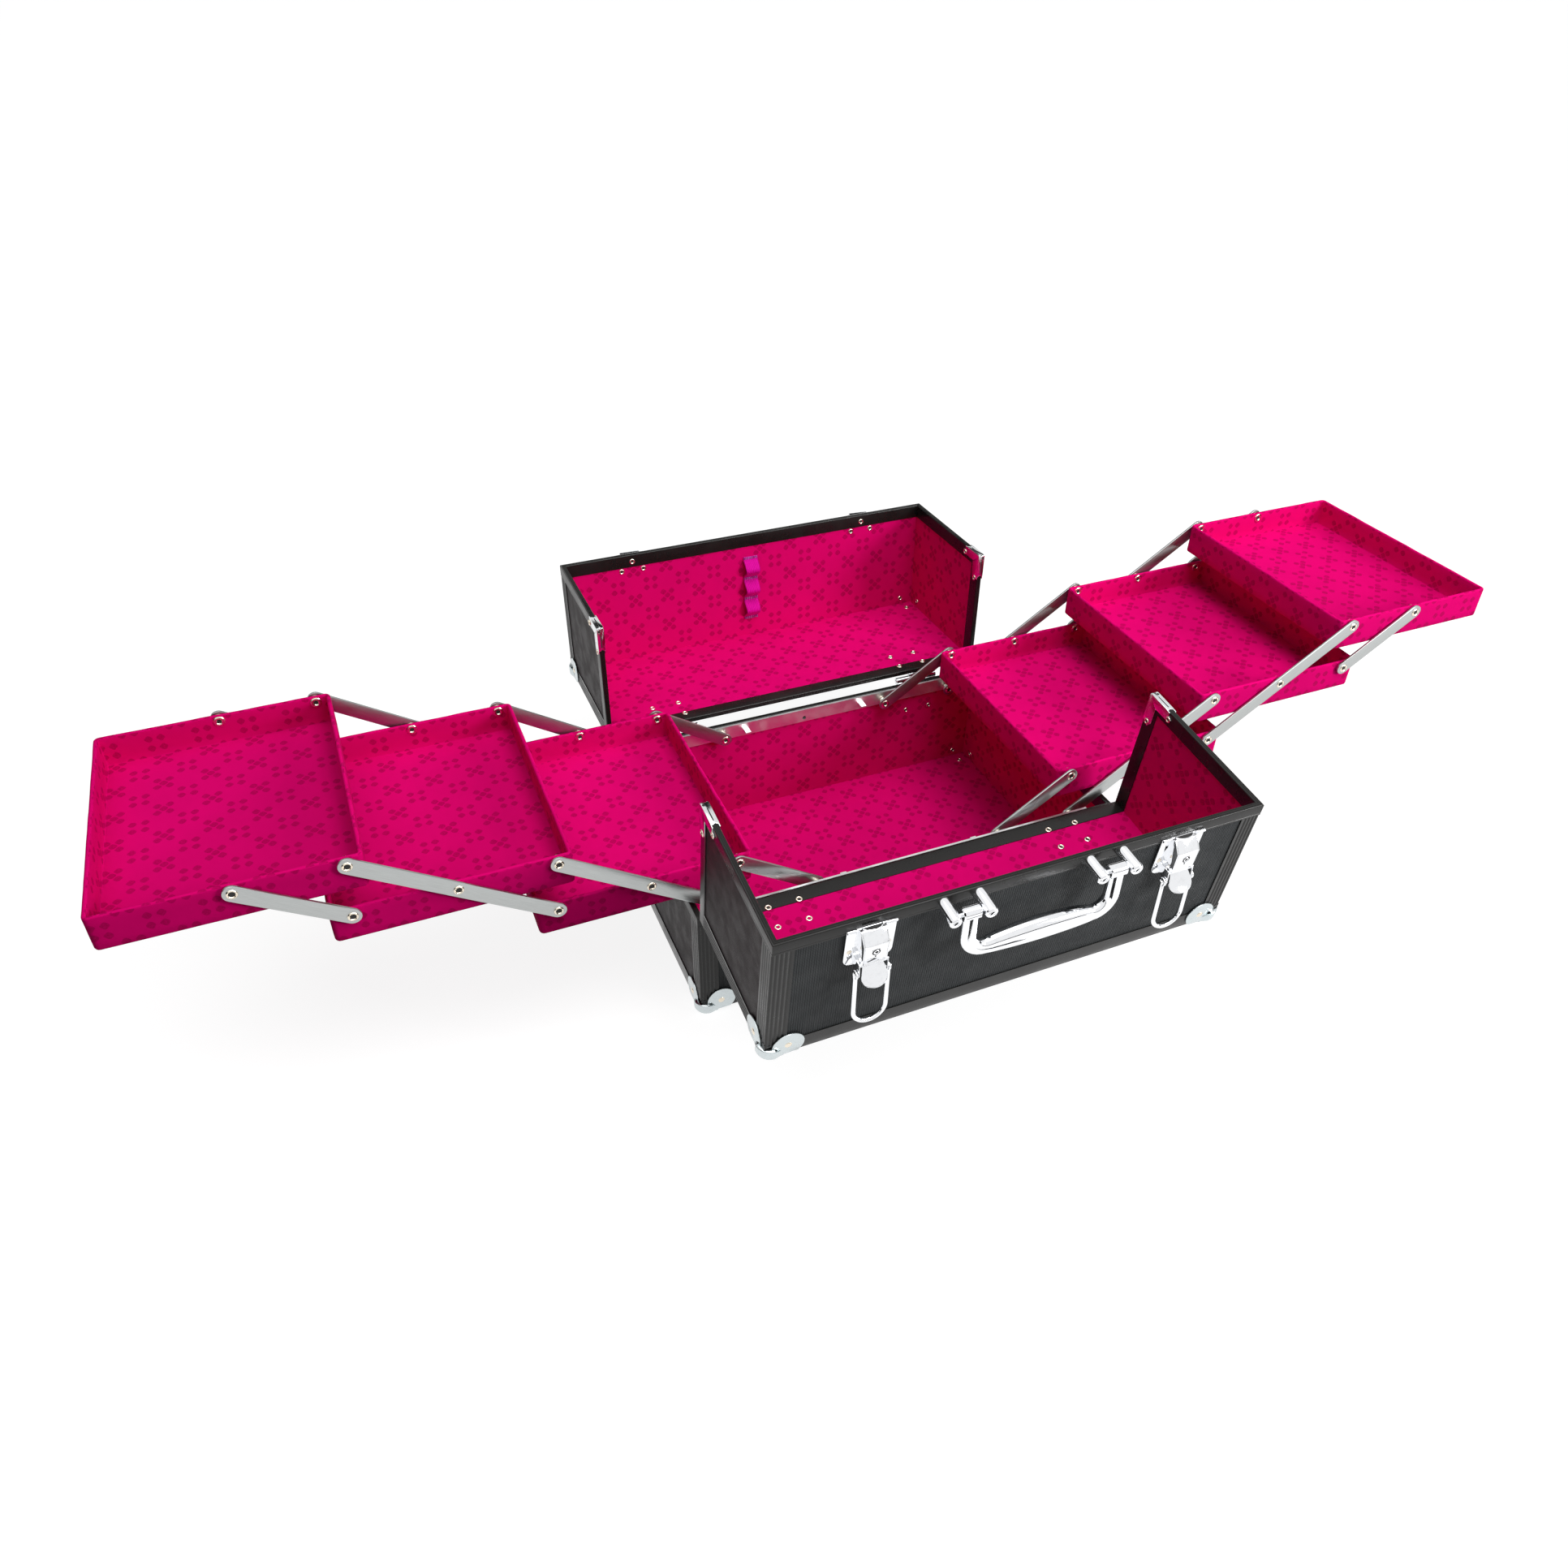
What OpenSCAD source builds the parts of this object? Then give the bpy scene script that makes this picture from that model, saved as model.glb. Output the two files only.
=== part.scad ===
// Cosmetics train case: a box base, two hinged covers that open to the front and to the
// back, and two stacks of three cantilever trays that swing out to the left and right.
// Drawn open, with every tray out. X runs along the case, Y from front to back, Z up.
// The origin is on the surface that the case stands on, under the middle of the base.

/* [Case] */
// Length of the case, left to right
case_w = 370; // [350:5:460]
// Depth of the base, front to back
case_d = 234; // [230:2:300]
// Height of the base, without its corner caps
base_h = 104; // [90:1:140]
// Height of the covers when the case is shut
cover_h = 129; // [120:1:180]
// Depth of the front cover's top, from the front face to the seam
front_depth = 121; // [100:1:130]
// Thickness of a wall: board and lining together
wall = 4; // [3.6:0.1:7]
// Thickness of the lining
lining_t = 0.8; // [0.5:0.1:1.2]

/* [Frame] */
// How far a profile's outer flange stands out of the panel it holds
skin = 0.7; // [0.5:0.1:1.2]
// Thickness of the rim profile's web and inner flange
rim_t = 0.6; // [0.5:0.1:1.2]
// Width of the rim profile's outer flange
rim_flange = 10; // [8:0.5:14]
// Width of the rim profile's inner flange
inner_flange = 12.5; // [11.5:0.5:13]
// Width of the smooth edge profiles
edge_w = 14; // [8:0.5:18]
// Width of the grooved corner profiles
corner_w = 15.5; // [11:0.5:18]
// Width of a groove in a corner profile
groove_w = 1.2; // [0.6:0.1:1.6]
// Depth of a groove in a corner profile
groove_t = 0.45; // [0.2:0.05:0.5]

/* [Corner caps] */
// Thickness of the corner caps
cap_t = 1.2; // [0.8:0.1:2]
// Radius of a cap's round ears
ear_r = 11.5; // [8:0.5:12]
// Distance of an upright ear's middle from the corner, along the case
ear_along = 17; // [14:0.5:20]
// Distance of an upright ear's middle from the edge below it
ear_up = 11.5; // [10:0.5:14]
// Distance of the lying ear's middle from both edges beside it
ear_under = 14; // [12:0.5:18]
// Radius of a cap's ball corner, inside its metal
ball_r = 7; // [5:0.1:8]
// Length of a cap's fold along an edge
cap_fold = 16; // [12:0.5:22]

/* [Rivets] */
// Radius of a rivet's shank
rivet_r = 1.3; // [0.9:0.1:1.6]
// Radius of a rivet's head
head_r = 2.7; // [2:0.1:3.2]
// Thickness of a rivet's head
head_t = 0.8; // [0.5:0.1:1.2]

/* [Tip clips] */
// Length of a clip's two legs
clip_len = 19; // [14:0.5:26]
// Thickness of a clip's side plates
clip_t = 0.9; // [0.6:0.1:1.4]

/* [Cover hinges] */
// Distance of the hinge pins from the case's face
pin_out = 5; // [4.2:0.1:7]
// Outer radius of the hinge knuckles
knuckle_r = 3.3; // [2.6:0.1:3.9]
// Radius of the hinge pins
pin_r = 1.4; // [1:0.1:1.8]
// Thickness of the hinge leaves
leaf_t = 1.1; // [0.8:0.1:1.4]
// Length of a leaf from its pin
leaf_len = 36; // [34:0.5:42]
// Width of a hinge
hinge_w = 42; // [34:1:60]
// Distance of the hinges from the middle of the case
hinge_x = 122; // [70:1:128]
// Half the distance between a hinge's rivets
hinge_rivet_x = 12.5; // [8:0.5:13]
// Distance of the first rivets from the rim
rivet_near = 10.4; // [5:0.1:11]
// Distance of the far rivets from the rim
rivet_far = 29.8; // [22:0.1:31]
// How far the front cover is open, in degrees
front_open = 97; // [85:0.5:100]
// How far the back cover is open, in degrees
back_open = 91; // [85:0.5:100]

/* [Trays] */
// Width of a tray
tray_w = 164; // [150:1:165]
// Depth of a tray, front to back
tray_d = 203; // [180:1:206]
// Height of a tray
tray_h = 27; // [18:0.5:30]
// Thickness of the tray walls
tray_wall = 3; // [2:0.25:4]
// Thickness of the tray floor
tray_floor = 3; // [2:0.25:4]
// Radius of the tray's upright corners
tray_r = 4; // [2:0.5:8]
// Distance of the tray pivots below the tray's rim
pivot_drop = 5; // [4.6:0.1:8]
// Distance of the first pivot from the tray's inner end
pivot_in = 11; // [8:0.5:13]
// Distance from one pivot to the next
pivot_step = 69; // [62:0.5:72]

/* [Arms] */
// Distance between two neighbouring pivots of an arm
arm_step = 77; // [76:0.5:84]
// Width of the arms
arm_w = 12; // [8:0.25:12]
// Thickness of the arms
arm_t = 2; // [1.2:0.1:2.4]
// Gap between a tray's side and the arms
arm_gap = 1.4; // [0.8:0.1:2.2]
// Angle of the arms above the horizontal with the trays out, in degrees
arm_open = 33; // [33:0.25:40]
// Radius of the arm rivets' barrels
barrel_r = 2.6; // [1.8:0.1:3]
// Radius of the hole through an arm rivet
eyelet_r = 1.7; // [0.8:0.1:1.7]
// Radius of the arm rivets' flanges
flange_r = 4.3; // [3.6:0.1:4.4]
// Thickness of the arm rivets' flanges
flange_t = 0.6; // [0.3:0.05:0.6]
// Running clearance of a pivot, on the radius
run_gap = 0.05; // [0.03:0.01:0.1]
// Clearance of the pivots that only close the linkage, on the radius
loose_gap = 0.25; // [0.15:0.05:0.4]

/* [Bracket bars] */
// Distance of the inner fixed pivots from the middle of the case
fixed_x = 81; // [80.5:0.5:90]
// Distance of the fixed pivots below the base's rim
fixed_drop = 9.5; // [7.5:0.1:9.5]
// Height of the bars
bar_h = 13; // [12:0.5:18]
// Thickness of the bars
bar_t = 2; // [1.5:0.1:2.2]
// How far the bars reach past the outer fixed pivots
bar_over = 12; // [8:0.5:20]
// Distance of the stop tabs from their pivots
tab_in = 22.5; // [18:0.5:30]

/* [Handle] */
// Distance of the handle's pivot pins from the case's middle
grip_x = 55; // [45:0.5:66]
// Distance of the handle's posts from its pivot
post_x = 13; // [11:0.5:16]
// Radius of the posts
post_r = 4.2; // [3:0.1:5]
// Height of the posts
post_h = 19; // [17:0.5:26]
// Height of the handle's pivot above the cover
grip_h = 13; // [12:0.25:15]
// Distance of the handle's pivot from the seam
grip_seam = 5.5; // [5:0.5:14]
// Drop of the grip below its pivot
grip_drop = 34; // [26:0.5:50]
// Radius of the bends beside the grip
bend_r = 14; // [10:0.5:18]
// Half the width of the handle's legs
leg_r = 6; // [4:0.1:6.2]
// Thickness of the handle's legs
leg_t = 8; // [6:0.25:10]
// Half the width of the middle of the grip
grip_r = 8.7; // [7:0.1:10]
// Thickness of the middle of the grip
grip_t = 14; // [10:0.25:16]
// Length of the handle's eyes
eye_w = 13; // [12:0.2:15]
// Radius of the handle's eyes
eye_r = 5; // [4:0.1:6]
// Radius of the handle's pivot pins
grip_pin_r = 1.6; // [1.2:0.1:2]

/* [Latches] */
// Distance of the latches from the case's middle
latch_x = 118; // [95:1:140]
// Width of a latch's base plate
plate_w = 35; // [30:0.5:44]
// Distance of the base plate's upper edge from the seam
plate_seam = 6; // [1:0.25:8]
// Distance of the base plate's lower edge from the seam
plate_end = 41; // [38:0.5:44]
// Thickness of the base plate
plate_t = 1.2; // [0.8:0.1:2]
// Width of the latch housing
house_w = 20.5; // [18:0.5:20.5]
// Height of the latch housing
house_h = 10.5; // [9.5:0.25:12]
// Thickness of the housing's metal
house_t = 1.3; // [1:0.1:1.8]
// Distance of the tongue's pivot from the seam
tongue_at = 34; // [32:0.5:35]
// Length of the tongue
tongue_len = 17; // [15:0.5:22]
// Distance of the bail's pivot from the seam
bail_at = 41.5; // [41:0.5:46]
// Angle at which the tongue stands out, in degrees
tongue_open = 34; // [0:1:60]
// Length of the bail from its pivot to the middle of its wire
bail_len = 46; // [40:0.5:52]
// Radius of the bail's wire
wire_r = 1.8; // [1.4:0.1:2]
// Width of the bail, between the middles of its legs
bail_w = 25.6; // [25.6:0.2:32]

/* [Catches] */
// Width of the catch plates
catch_w = 30; // [28:0.5:38]
// Length of the catch plates
catch_len = 21; // [20:0.5:26]
// Height of the catch hooks
catch_h = 6; // [5.5:0.25:7]

/* [Brush strap] */
// Width of the strap
strap_w = 15; // [10:0.5:22]
// Distance of the strap's upper end from the seam
strap_from = 23; // [18:0.5:26]
// Length of the strap
strap_len = 68; // [54:0.5:70]
// Number of loops
strap_loops = 3; // [2:1:4]
// How far a loop stands out
loop_h = 8; // [6:0.5:12]
// Thickness of the elastic
elastic_t = 1; // [0.6:0.1:1.4]

/* [Hidden] */
$fn = 48;
e = 0.01;                                   // overlap that joins two shapes of one piece
air = 0.1;                                  // gap between faces that move on each other
foot = cap_t;                               // the corner caps lie on the table
top = foot + base_h;
board = wall - lining_t;
inner = wall + rim_t;                       // from a face to the inner flange
back_depth = case_d - front_depth;
grooveFrom = max(edge_w, corner_w) + 0.5;   // the grooves' distance from the corner
rise = arm_step * sin(arm_open);
reach = arm_step * cos(arm_open);
armIn = tray_d / 2 + arm_gap;               // the arms' face towards the trays
barOut = case_d / 2 - inner;                // the bars lie on the base rim's inner flange
fixedZ = top - fixed_drop;
fixedOut = fixed_x + pivot_step;
foldedAngle = acos(pivot_step / arm_step);  // of the arms when the trays are in
function trayX(i) = fixed_x + reach - pivot_in + (i - 1) * (reach + pivot_step);
function trayTop(i) = fixedZ + pivot_drop + i * rise;

RIM = "#17171a"; PANEL = "#2b2d30"; PINK = "#d6006c"; CHROME = "#d9dbde"; ALU = "#b9bcbc";

// ---------- small shapes

module block(x0, x1, y0, y1, z0, z1) {
  translate([x0, y0, z0]) cube([x1 - x0, y1 - y0, z1 - z0]);
}

// Rivet along +Z through a wall from its face at z = 0, its round head on the inside.
module rivet(depth) {
  difference() {
    union() {
      translate([0, 0, -e]) cylinder(r = rivet_r, h = depth + e + e);
      translate([0, 0, depth]) cylinder(r = head_r, h = head_t);
    }
    translate([0, 0, depth + head_t * 0.4]) cylinder(r = rivet_r * 0.75, h = head_t);
  }
}

module rivetHole(depth) {
  translate([0, 0, -1]) cylinder(r = rivet_r, h = depth + 2);
}

module rounded(x0, x1, y0, y1, r) {
  translate([x0 + r, y0]) square([x1 - x0 - 2 * r, y1 - y0]);
  translate([x0, y0 + r]) square([x1 - x0, y1 - y0 - 2 * r]);
  for (x = [x0 + r, x1 - r], y = [y0 + r, y1 - r]) translate([x, y]) circle(r = r);
}

// ---------- corner caps, with the corner at the origin and the case in the +++ octant

module onFaces() {
  translate([ear_under, ear_under, 0]) children();
  translate([0, ear_along, ear_up]) rotate([0, 90, 0]) children();
  translate([ear_along, 0, ear_up]) rotate([-90, 0, 0]) children();
}

module cap() {
  color(CHROME) {
    difference() {
      intersection() {
        block(-cap_t, ball_r, -cap_t, ball_r, -cap_t, ball_r);
        translate([1, 1, 1] * ball_r) sphere(r = ball_r + cap_t, $fn = 64);
      }
      block(board, ball_r + 1, board, ball_r + 1, board, ball_r + 1);
    }
    difference() {
      union() {
        onFaces() translate([0, 0, -cap_t]) cylinder(r = ear_r, h = cap_t);
        block(ball_r - e, cap_fold, -cap_t, ball_r + 3, -cap_t, 0);
        block(ball_r - e, cap_fold, -cap_t, 0, -cap_t, ball_r + 3);
        block(-cap_t, ball_r + 3, ball_r - e, cap_fold, -cap_t, 0);
        block(-cap_t, 0, ball_r - e, cap_fold, -cap_t, ball_r + 3);
        block(-cap_t, ball_r + 3, -cap_t, 0, ball_r - e, cap_fold);
        block(-cap_t, 0, -cap_t, ball_r + 3, ball_r - e, cap_fold);
      }
      onFaces() translate([0, 0, -cap_t - 1]) cylinder(r = rivet_r * 0.75, h = cap_t * 0.6 + 1);
    }
    onFaces() rivet(wall);
  }
}

module capRoom() {
  difference() {
    block(-1, ball_r, -1, ball_r, -1, ball_r);
    block(board, ball_r + 1, board, ball_r + 1, board, ball_r + 1);
  }
  onFaces() rivetHole(wall);
}

// Puts a cap on one of the case's corners: sx and sy are the side, up is true at the top.
module atCorner(sx, sy, z, up) {
  translate([sx * case_w / 2, sy * case_d / 2, z])
    mirror([sx > 0 ? 1 : 0, 0, 0]) mirror([0, sy > 0 ? 1 : 0, 0]) mirror([0, 0, up ? 1 : 0])
      children();
}

// ---------- base

module baseShell(out, in, z0, z1) {
  difference() {
    block(-case_w / 2 + out, case_w / 2 - out, -case_d / 2 + out, case_d / 2 - out, z0, z1);
    block(-case_w / 2 + in, case_w / 2 - in, -case_d / 2 + in, case_d / 2 - in, foot + in, z1 + 1);
  }
}

module baseRing(out, in, z0, z1) {
  difference() {
    block(-case_w / 2 + out, case_w / 2 - out, -case_d / 2 + out, case_d / 2 - out, z0, z1);
    block(-case_w / 2 + in, case_w / 2 - in, -case_d / 2 + in, case_d / 2 - in, z0 - 1, z1 + 1);
  }
}

module baseHoles() {
  for (sx = [-1, 1], sy = [-1, 1]) {
    atCorner(sx, sy, foot, false) capRoom();
    for (dx = [-1, 1]) translate([sx * hinge_x + dx * hinge_rivet_x, sy * case_d / 2, top - rivet_far])
      rotate([sy * 90, 0, 0]) rivetHole(wall);
  }
}

module base_panels() {
  color(PANEL) difference() {
    baseShell(skin, board, foot + skin, top - rim_t);
    baseHoles();
  }
}

module base_lining() {
  color(PINK) difference() {
    baseShell(board, wall, foot + board, top - rim_t);
    baseHoles();
  }
}

module grooves(len) {
  for (i = [1:4]) translate([corner_w * i / 5 - groove_w / 2, -1, 0]) cube([groove_w, groove_t + 1, len]);
}

module base_frame() {
  color(RIM) difference() {
    union() {
      baseRing(0, skin, top - rim_flange, top);
      baseRing(0, inner, top - rim_t, top);
      baseRing(wall, inner, top - inner_flange, top);
      baseRing(0, skin, foot, foot + edge_w);
      baseRing(0, edge_w, foot, foot + skin);
      for (sx = [-1, 1], sy = [-1, 1]) atCorner(sx, sy, foot, false) {
        block(0, corner_w, 0, skin, 0, base_h - rim_t);
        block(0, skin, 0, corner_w, 0, base_h - rim_t);
      }
    }
    for (sx = [-1, 1], sy = [-1, 1]) atCorner(sx, sy, foot, false) translate([0, 0, grooveFrom]) {
      grooves(base_h - grooveFrom - rim_flange - 1);
      mirror([1, -1, 0]) grooves(base_h - grooveFrom - rim_flange - 1);
    }
    baseHoles();
  }
}

// ---------- bracket bars, on the inner faces of the base's long walls

module bar(sy) {
  color(ALU) mirror([0, sy < 0 ? 1 : 0, 0]) {
    difference() {
      block(-fixedOut - bar_over, fixedOut + bar_over, barOut - bar_t, barOut, top - rim_t - bar_h, top - rim_t);
      for (x = [-fixedOut, -fixed_x, fixed_x, fixedOut])
        translate([x, barOut - bar_t - 1, fixedZ]) rotate([-90, 0, 0]) cylinder(r = barrel_r + run_gap, h = bar_t + 2);
      translate([0, barOut - bar_t - 1, fixedZ]) rotate([-90, 0, 0]) cylinder(r = rivet_r * 1.4, h = bar_t + 2);
    }
    // stop tabs, which the folded arms come down on
    for (sx = [-1, 1]) {
      stopZ = fixedZ + (tab_in - 2.5) * tan(foldedAngle) - arm_w / 2 / cos(foldedAngle) - 0.3;
      block(sx * (fixed_x - tab_in) - 2.5, sx * (fixed_x - tab_in) + 2.5, armIn + 0.3, barOut - bar_t + e, stopZ - 1.4, stopZ);
    }
  }
}
module bar_front() { bar(-1); }
module bar_back() { bar(1); }

// ---------- cover hinges. In (y, z) the pin is at the origin, the case's face at y = pin_out.

module knuckle(x0, x1, hole) {
  translate([x0, 0, 0]) rotate([0, 90, 0]) difference() {
    cylinder(r = knuckle_r, h = x1 - x0);
    if (hole) translate([0, 0, -1]) cylinder(r = pin_r + run_gap, h = x1 - x0 + 2);
  }
}

// The base's leaf hangs down and holds the pin; its two knuckles are the outer thirds.
module baseLeaf() {
  color(CHROME) {
    block(-hinge_w / 2, hinge_w / 2, pin_out - leaf_t, pin_out, -leaf_len, -knuckle_r + leaf_t);
    block(-hinge_w / 2, -hinge_w / 6 - air, 0, pin_out, -knuckle_r, -knuckle_r + leaf_t);
    block(hinge_w / 6 + air, hinge_w / 2, 0, pin_out, -knuckle_r, -knuckle_r + leaf_t);
    knuckle(-hinge_w / 2, -hinge_w / 6 - air, false);
    knuckle(hinge_w / 6 + air, hinge_w / 2, false);
    translate([-hinge_w / 2, 0, 0]) rotate([0, 90, 0]) cylinder(r = pin_r, h = hinge_w);
    for (dx = [-1, 1]) translate([dx * hinge_rivet_x, pin_out, -rivet_far]) rotate([-90, 0, 0]) rivet(wall);
  }
}

// The cover's leaf stands up, as it is with the cover shut, and has the middle knuckle.
module coverLeaf() {
  color(CHROME) {
    difference() {
      union() {
        block(-hinge_w / 2, hinge_w / 2, pin_out - leaf_t, pin_out, knuckle_r - leaf_t, leaf_len);
        block(-hinge_w / 6, hinge_w / 6, 0, pin_out, knuckle_r - leaf_t, knuckle_r);
        knuckle(-hinge_w / 6, hinge_w / 6, false);
      }
      translate([-hinge_w / 2, 0, 0]) rotate([0, 90, 0]) cylinder(r = pin_r + run_gap, h = hinge_w);
    }
    for (dx = [-1, 1], z = [rivet_near, rivet_far])
      translate([dx * hinge_rivet_x, pin_out, z]) rotate([-90, 0, 0]) rivet(z < inner_flange ? inner : wall);
  }
}

module atHinge(sy, sx) {
  translate([sx * hinge_x, 0, top]) mirror([0, sy > 0 ? 1 : 0, 0]) translate([0, -case_d / 2 - pin_out, 0]) children();
}
module leaf_base_fl() { atHinge(-1, -1) baseLeaf(); }
module leaf_base_fr() { atHinge(-1, 1) baseLeaf(); }
module leaf_base_bl() { atHinge(1, -1) baseLeaf(); }
module leaf_base_br() { atHinge(1, 1) baseLeaf(); }

// ---------- covers, drawn shut in their own frame: face at y = 0, rim at z = 0

// Turns what is drawn for a shut cover to where the open cover is.
module opened(sy) {
  mirror([0, sy > 0 ? 1 : 0, 0]) translate([0, -case_d / 2 - pin_out, top])
    rotate([sy < 0 ? front_open : back_open, 0, 0]) translate([0, pin_out, 0]) children();
}

module coverCorner(sx) {
  translate([sx * case_w / 2, 0, cover_h]) mirror([sx > 0 ? 1 : 0, 0, 0]) mirror([0, 0, 1]) children();
}

// A cover's cap has its upright ears beside the face, which lies below when it is open.
module coverCap(sx) { coverCorner(sx) mirror([0, 1, -1]) children(); }

module coverShell(out, in, z0, y1) {
  difference() {
    block(-case_w / 2 + out, case_w / 2 - out, out, y1, z0, cover_h - out);
    block(-case_w / 2 + in, case_w / 2 - in, in, y1 + 1, z0 - 1, cover_h - in);
  }
}

module catchRivets() {
  translate([0, -7, 0]) { $depth = inner; children(); }
  for (dx = [-1, 1]) translate([dx * 10.5, -16, 0]) { $depth = wall; children(); }
}

module coverHoles(depth, catches) {
  for (sx = [-1, 1]) {
    coverCap(sx) capRoom();
    for (dx = [-1, 1], z = [rivet_near, rivet_far])
      translate([sx * hinge_x + dx * hinge_rivet_x, 0, z]) rotate([-90, 0, 0]) rivetHole(wall);
    for (p = [[clip_len * 0.7, clip_len * 0.28], [clip_len * 0.28, clip_len * 0.7]])
      translate([sx * (case_w / 2 + 1), depth - p[0], p[1]]) rotate([0, -sx * 90, 0]) cylinder(r = rivet_r, h = inner + 2);
    if (catches) translate([sx * latch_x, depth, cover_h]) mirror([0, 0, 1]) catchRivets() rivetHole($depth);
  }
}

module coverPanels(depth, catches) {
  color(PANEL) difference() {
    coverShell(skin, board, rim_t, depth - rim_t);
    coverHoles(depth, catches);
  }
}

module coverLining(depth, catches) {
  color(PINK) difference() {
    coverShell(board, wall, rim_t, depth - rim_t);
    coverHoles(depth, catches);
  }
}

module coverFrame(depth, catches) {
  w = case_w / 2;
  color(RIM) difference() {
    union() {
      // rim on the hinge side, along the face
      block(-w, w, 0, skin, 0, rim_flange);
      block(-w, w, 0, inner, 0, rim_t);
      block(-w + wall, w - wall, wall, inner, 0, inner_flange);
      // rim on the seam, along the top
      block(-w, w, depth - rim_flange, depth, cover_h - skin, cover_h);
      block(-w, w, depth - rim_t, depth, cover_h - inner, cover_h);
      block(-w + wall, w - wall, depth - inner_flange, depth, cover_h - inner, cover_h - wall);
      // edge between the face and the top
      block(-w, w, 0, skin, cover_h - edge_w, cover_h);
      block(-w, w, 0, edge_w, cover_h - skin, cover_h);
      for (sx = [-1, 1]) mirror([sx < 0 ? 1 : 0, 0, 0]) {
        // rims of the end: below, and up the seam
        block(w - skin, w, 0, depth, 0, rim_flange);
        block(w - inner, w, 0, depth, 0, rim_t);
        block(w - inner, w - wall, wall, depth, 0, inner_flange);
        block(w - skin, w, depth - rim_flange, depth, 0, cover_h);
        block(w - inner, w, depth - rim_t, depth, 0, cover_h);
        block(w - inner, w - wall, depth - inner_flange, depth, 0, cover_h - wall);
        // grooved profiles: up the corner, and along the top of the end
        block(w - corner_w, w, 0, skin, 0, cover_h);
        block(w - skin, w, 0, corner_w, 0, cover_h);
        block(w - corner_w, w, 0, depth, cover_h - skin, cover_h);
        block(w - skin, w, 0, depth, cover_h - corner_w, cover_h);
      }
    }
    for (sx = [-1, 1]) {
      coverCorner(sx) translate([0, 0, grooveFrom]) {
        grooves(cover_h - grooveFrom - rim_flange - 1);
        mirror([1, -1, 0]) grooves(cover_h - grooveFrom - rim_flange - 1);
      }
      coverCorner(sx) translate([0, grooveFrom, 0]) mirror([0, 1, -1]) {
        grooves(depth - grooveFrom - rim_flange - 1);
        mirror([1, -1, 0]) grooves(depth - grooveFrom - rim_flange - 1);
      }
      // room for the tip clips
      translate([sx * (w - inner / 2), depth, 0]) {
        block(-inner, inner, -rim_t, 1, -1, clip_len);
        block(-inner, inner, -clip_len, 1, -1, rim_t);
      }
    }
    coverHoles(depth, catches);
  }
}

// Folded clip on the tip of a cover's end, with a plate on each side of the wall.
module clipL(y0, y1, z0, z1, x0, x1) {
  for (p = [[y0, y1, z0, z0 + clip_len * 0.5], [y1 - clip_len * 0.5, y1, z0, z1]]) block(x0, x1, p[0], p[1], p[2], p[3]);
}

module clip(depth, sx) {
  w = case_w / 2;
  color(CHROME) mirror([sx < 0 ? 1 : 0, 0, 0]) {
    difference() {
      union() {
        clipL(depth - clip_len, depth, 0, clip_len, w, w + clip_t);
        clipL(depth - clip_len, depth, 0, clip_len, w - inner - clip_t, w - inner);
        block(w - inner - clip_t, w + clip_t, depth - rim_t, depth, 0, clip_len);
        block(w - inner - clip_t, w + clip_t, depth - clip_len, depth, 0, rim_t);
      }
    }
    for (p = [[clip_len * 0.7, clip_len * 0.28], [clip_len * 0.28, clip_len * 0.7]]) translate([w, depth - p[0], p[1]]) {
      rotate([0, -90, 0]) rivet(inner + clip_t);
      rotate([0, 90, 0]) translate([0, 0, clip_t - e]) cylinder(r = head_r, h = head_t);
    }
  }
}

module front_panels() { opened(-1) coverPanels(front_depth, false); }
module front_lining() { opened(-1) coverLining(front_depth, false); }
module front_frame() { opened(-1) coverFrame(front_depth, false); }
module front_cap_l() { opened(-1) coverCap(-1) cap(); }
module front_cap_r() { opened(-1) coverCap(1) cap(); }
module front_clip_l() { opened(-1) clip(front_depth, -1); }
module front_clip_r() { opened(-1) clip(front_depth, 1); }
module leaf_front_l() { opened(-1) translate([-hinge_x, -pin_out, 0]) coverLeaf(); }
module leaf_front_r() { opened(-1) translate([hinge_x, -pin_out, 0]) coverLeaf(); }
module back_panels() { opened(1) coverPanels(back_depth, true); }
module back_lining() { opened(1) coverLining(back_depth, true); }
module back_frame() { opened(1) coverFrame(back_depth, true); }
module back_cap_l() { opened(1) coverCap(-1) cap(); }
module back_cap_r() { opened(1) coverCap(1) cap(); }
module back_clip_l() { opened(1) clip(back_depth, -1); }
module back_clip_r() { opened(1) clip(back_depth, 1); }
module leaf_back_l() { opened(1) translate([-hinge_x, -pin_out, 0]) coverLeaf(); }
module leaf_back_r() { opened(1) translate([hinge_x, -pin_out, 0]) coverLeaf(); }

// ---------- what is on the covers' tops. Here x is along the case, y runs from the seam
// to the face and z stands out of the top.

module onTop(sy) {
  opened(sy) translate([0, sy < 0 ? front_depth : back_depth, cover_h]) mirror([0, 1, 0]) children();
}

// Two posts with the pin that the handle's eye turns on.
module mount() {
  color(CHROME) {
    for (sx = [-1, 1]) translate([sx * post_x, grip_seam, 0]) difference() {
      cylinder(r = post_r, h = post_h);
      translate([0, 0, post_h - 1.5]) cylinder(r = post_r * 0.45, h = 3);
    }
    translate([-post_x, grip_seam, grip_h]) rotate([0, 90, 0]) cylinder(r = grip_pin_r, h = 2 * post_x);
  }
}
module handle_mount_l() { onTop(-1) translate([-grip_x, 0, 0]) mount(); }
module handle_mount_r() { onTop(-1) translate([grip_x, 0, 0]) mount(); }

// The handle lies in the XY plane here, its pivot on the X axis and its grip at +Y.
module flat(t) { intersection() { children(); block(-case_w, case_w, -case_w, case_w, -t / 2, t / 2); } }

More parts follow.
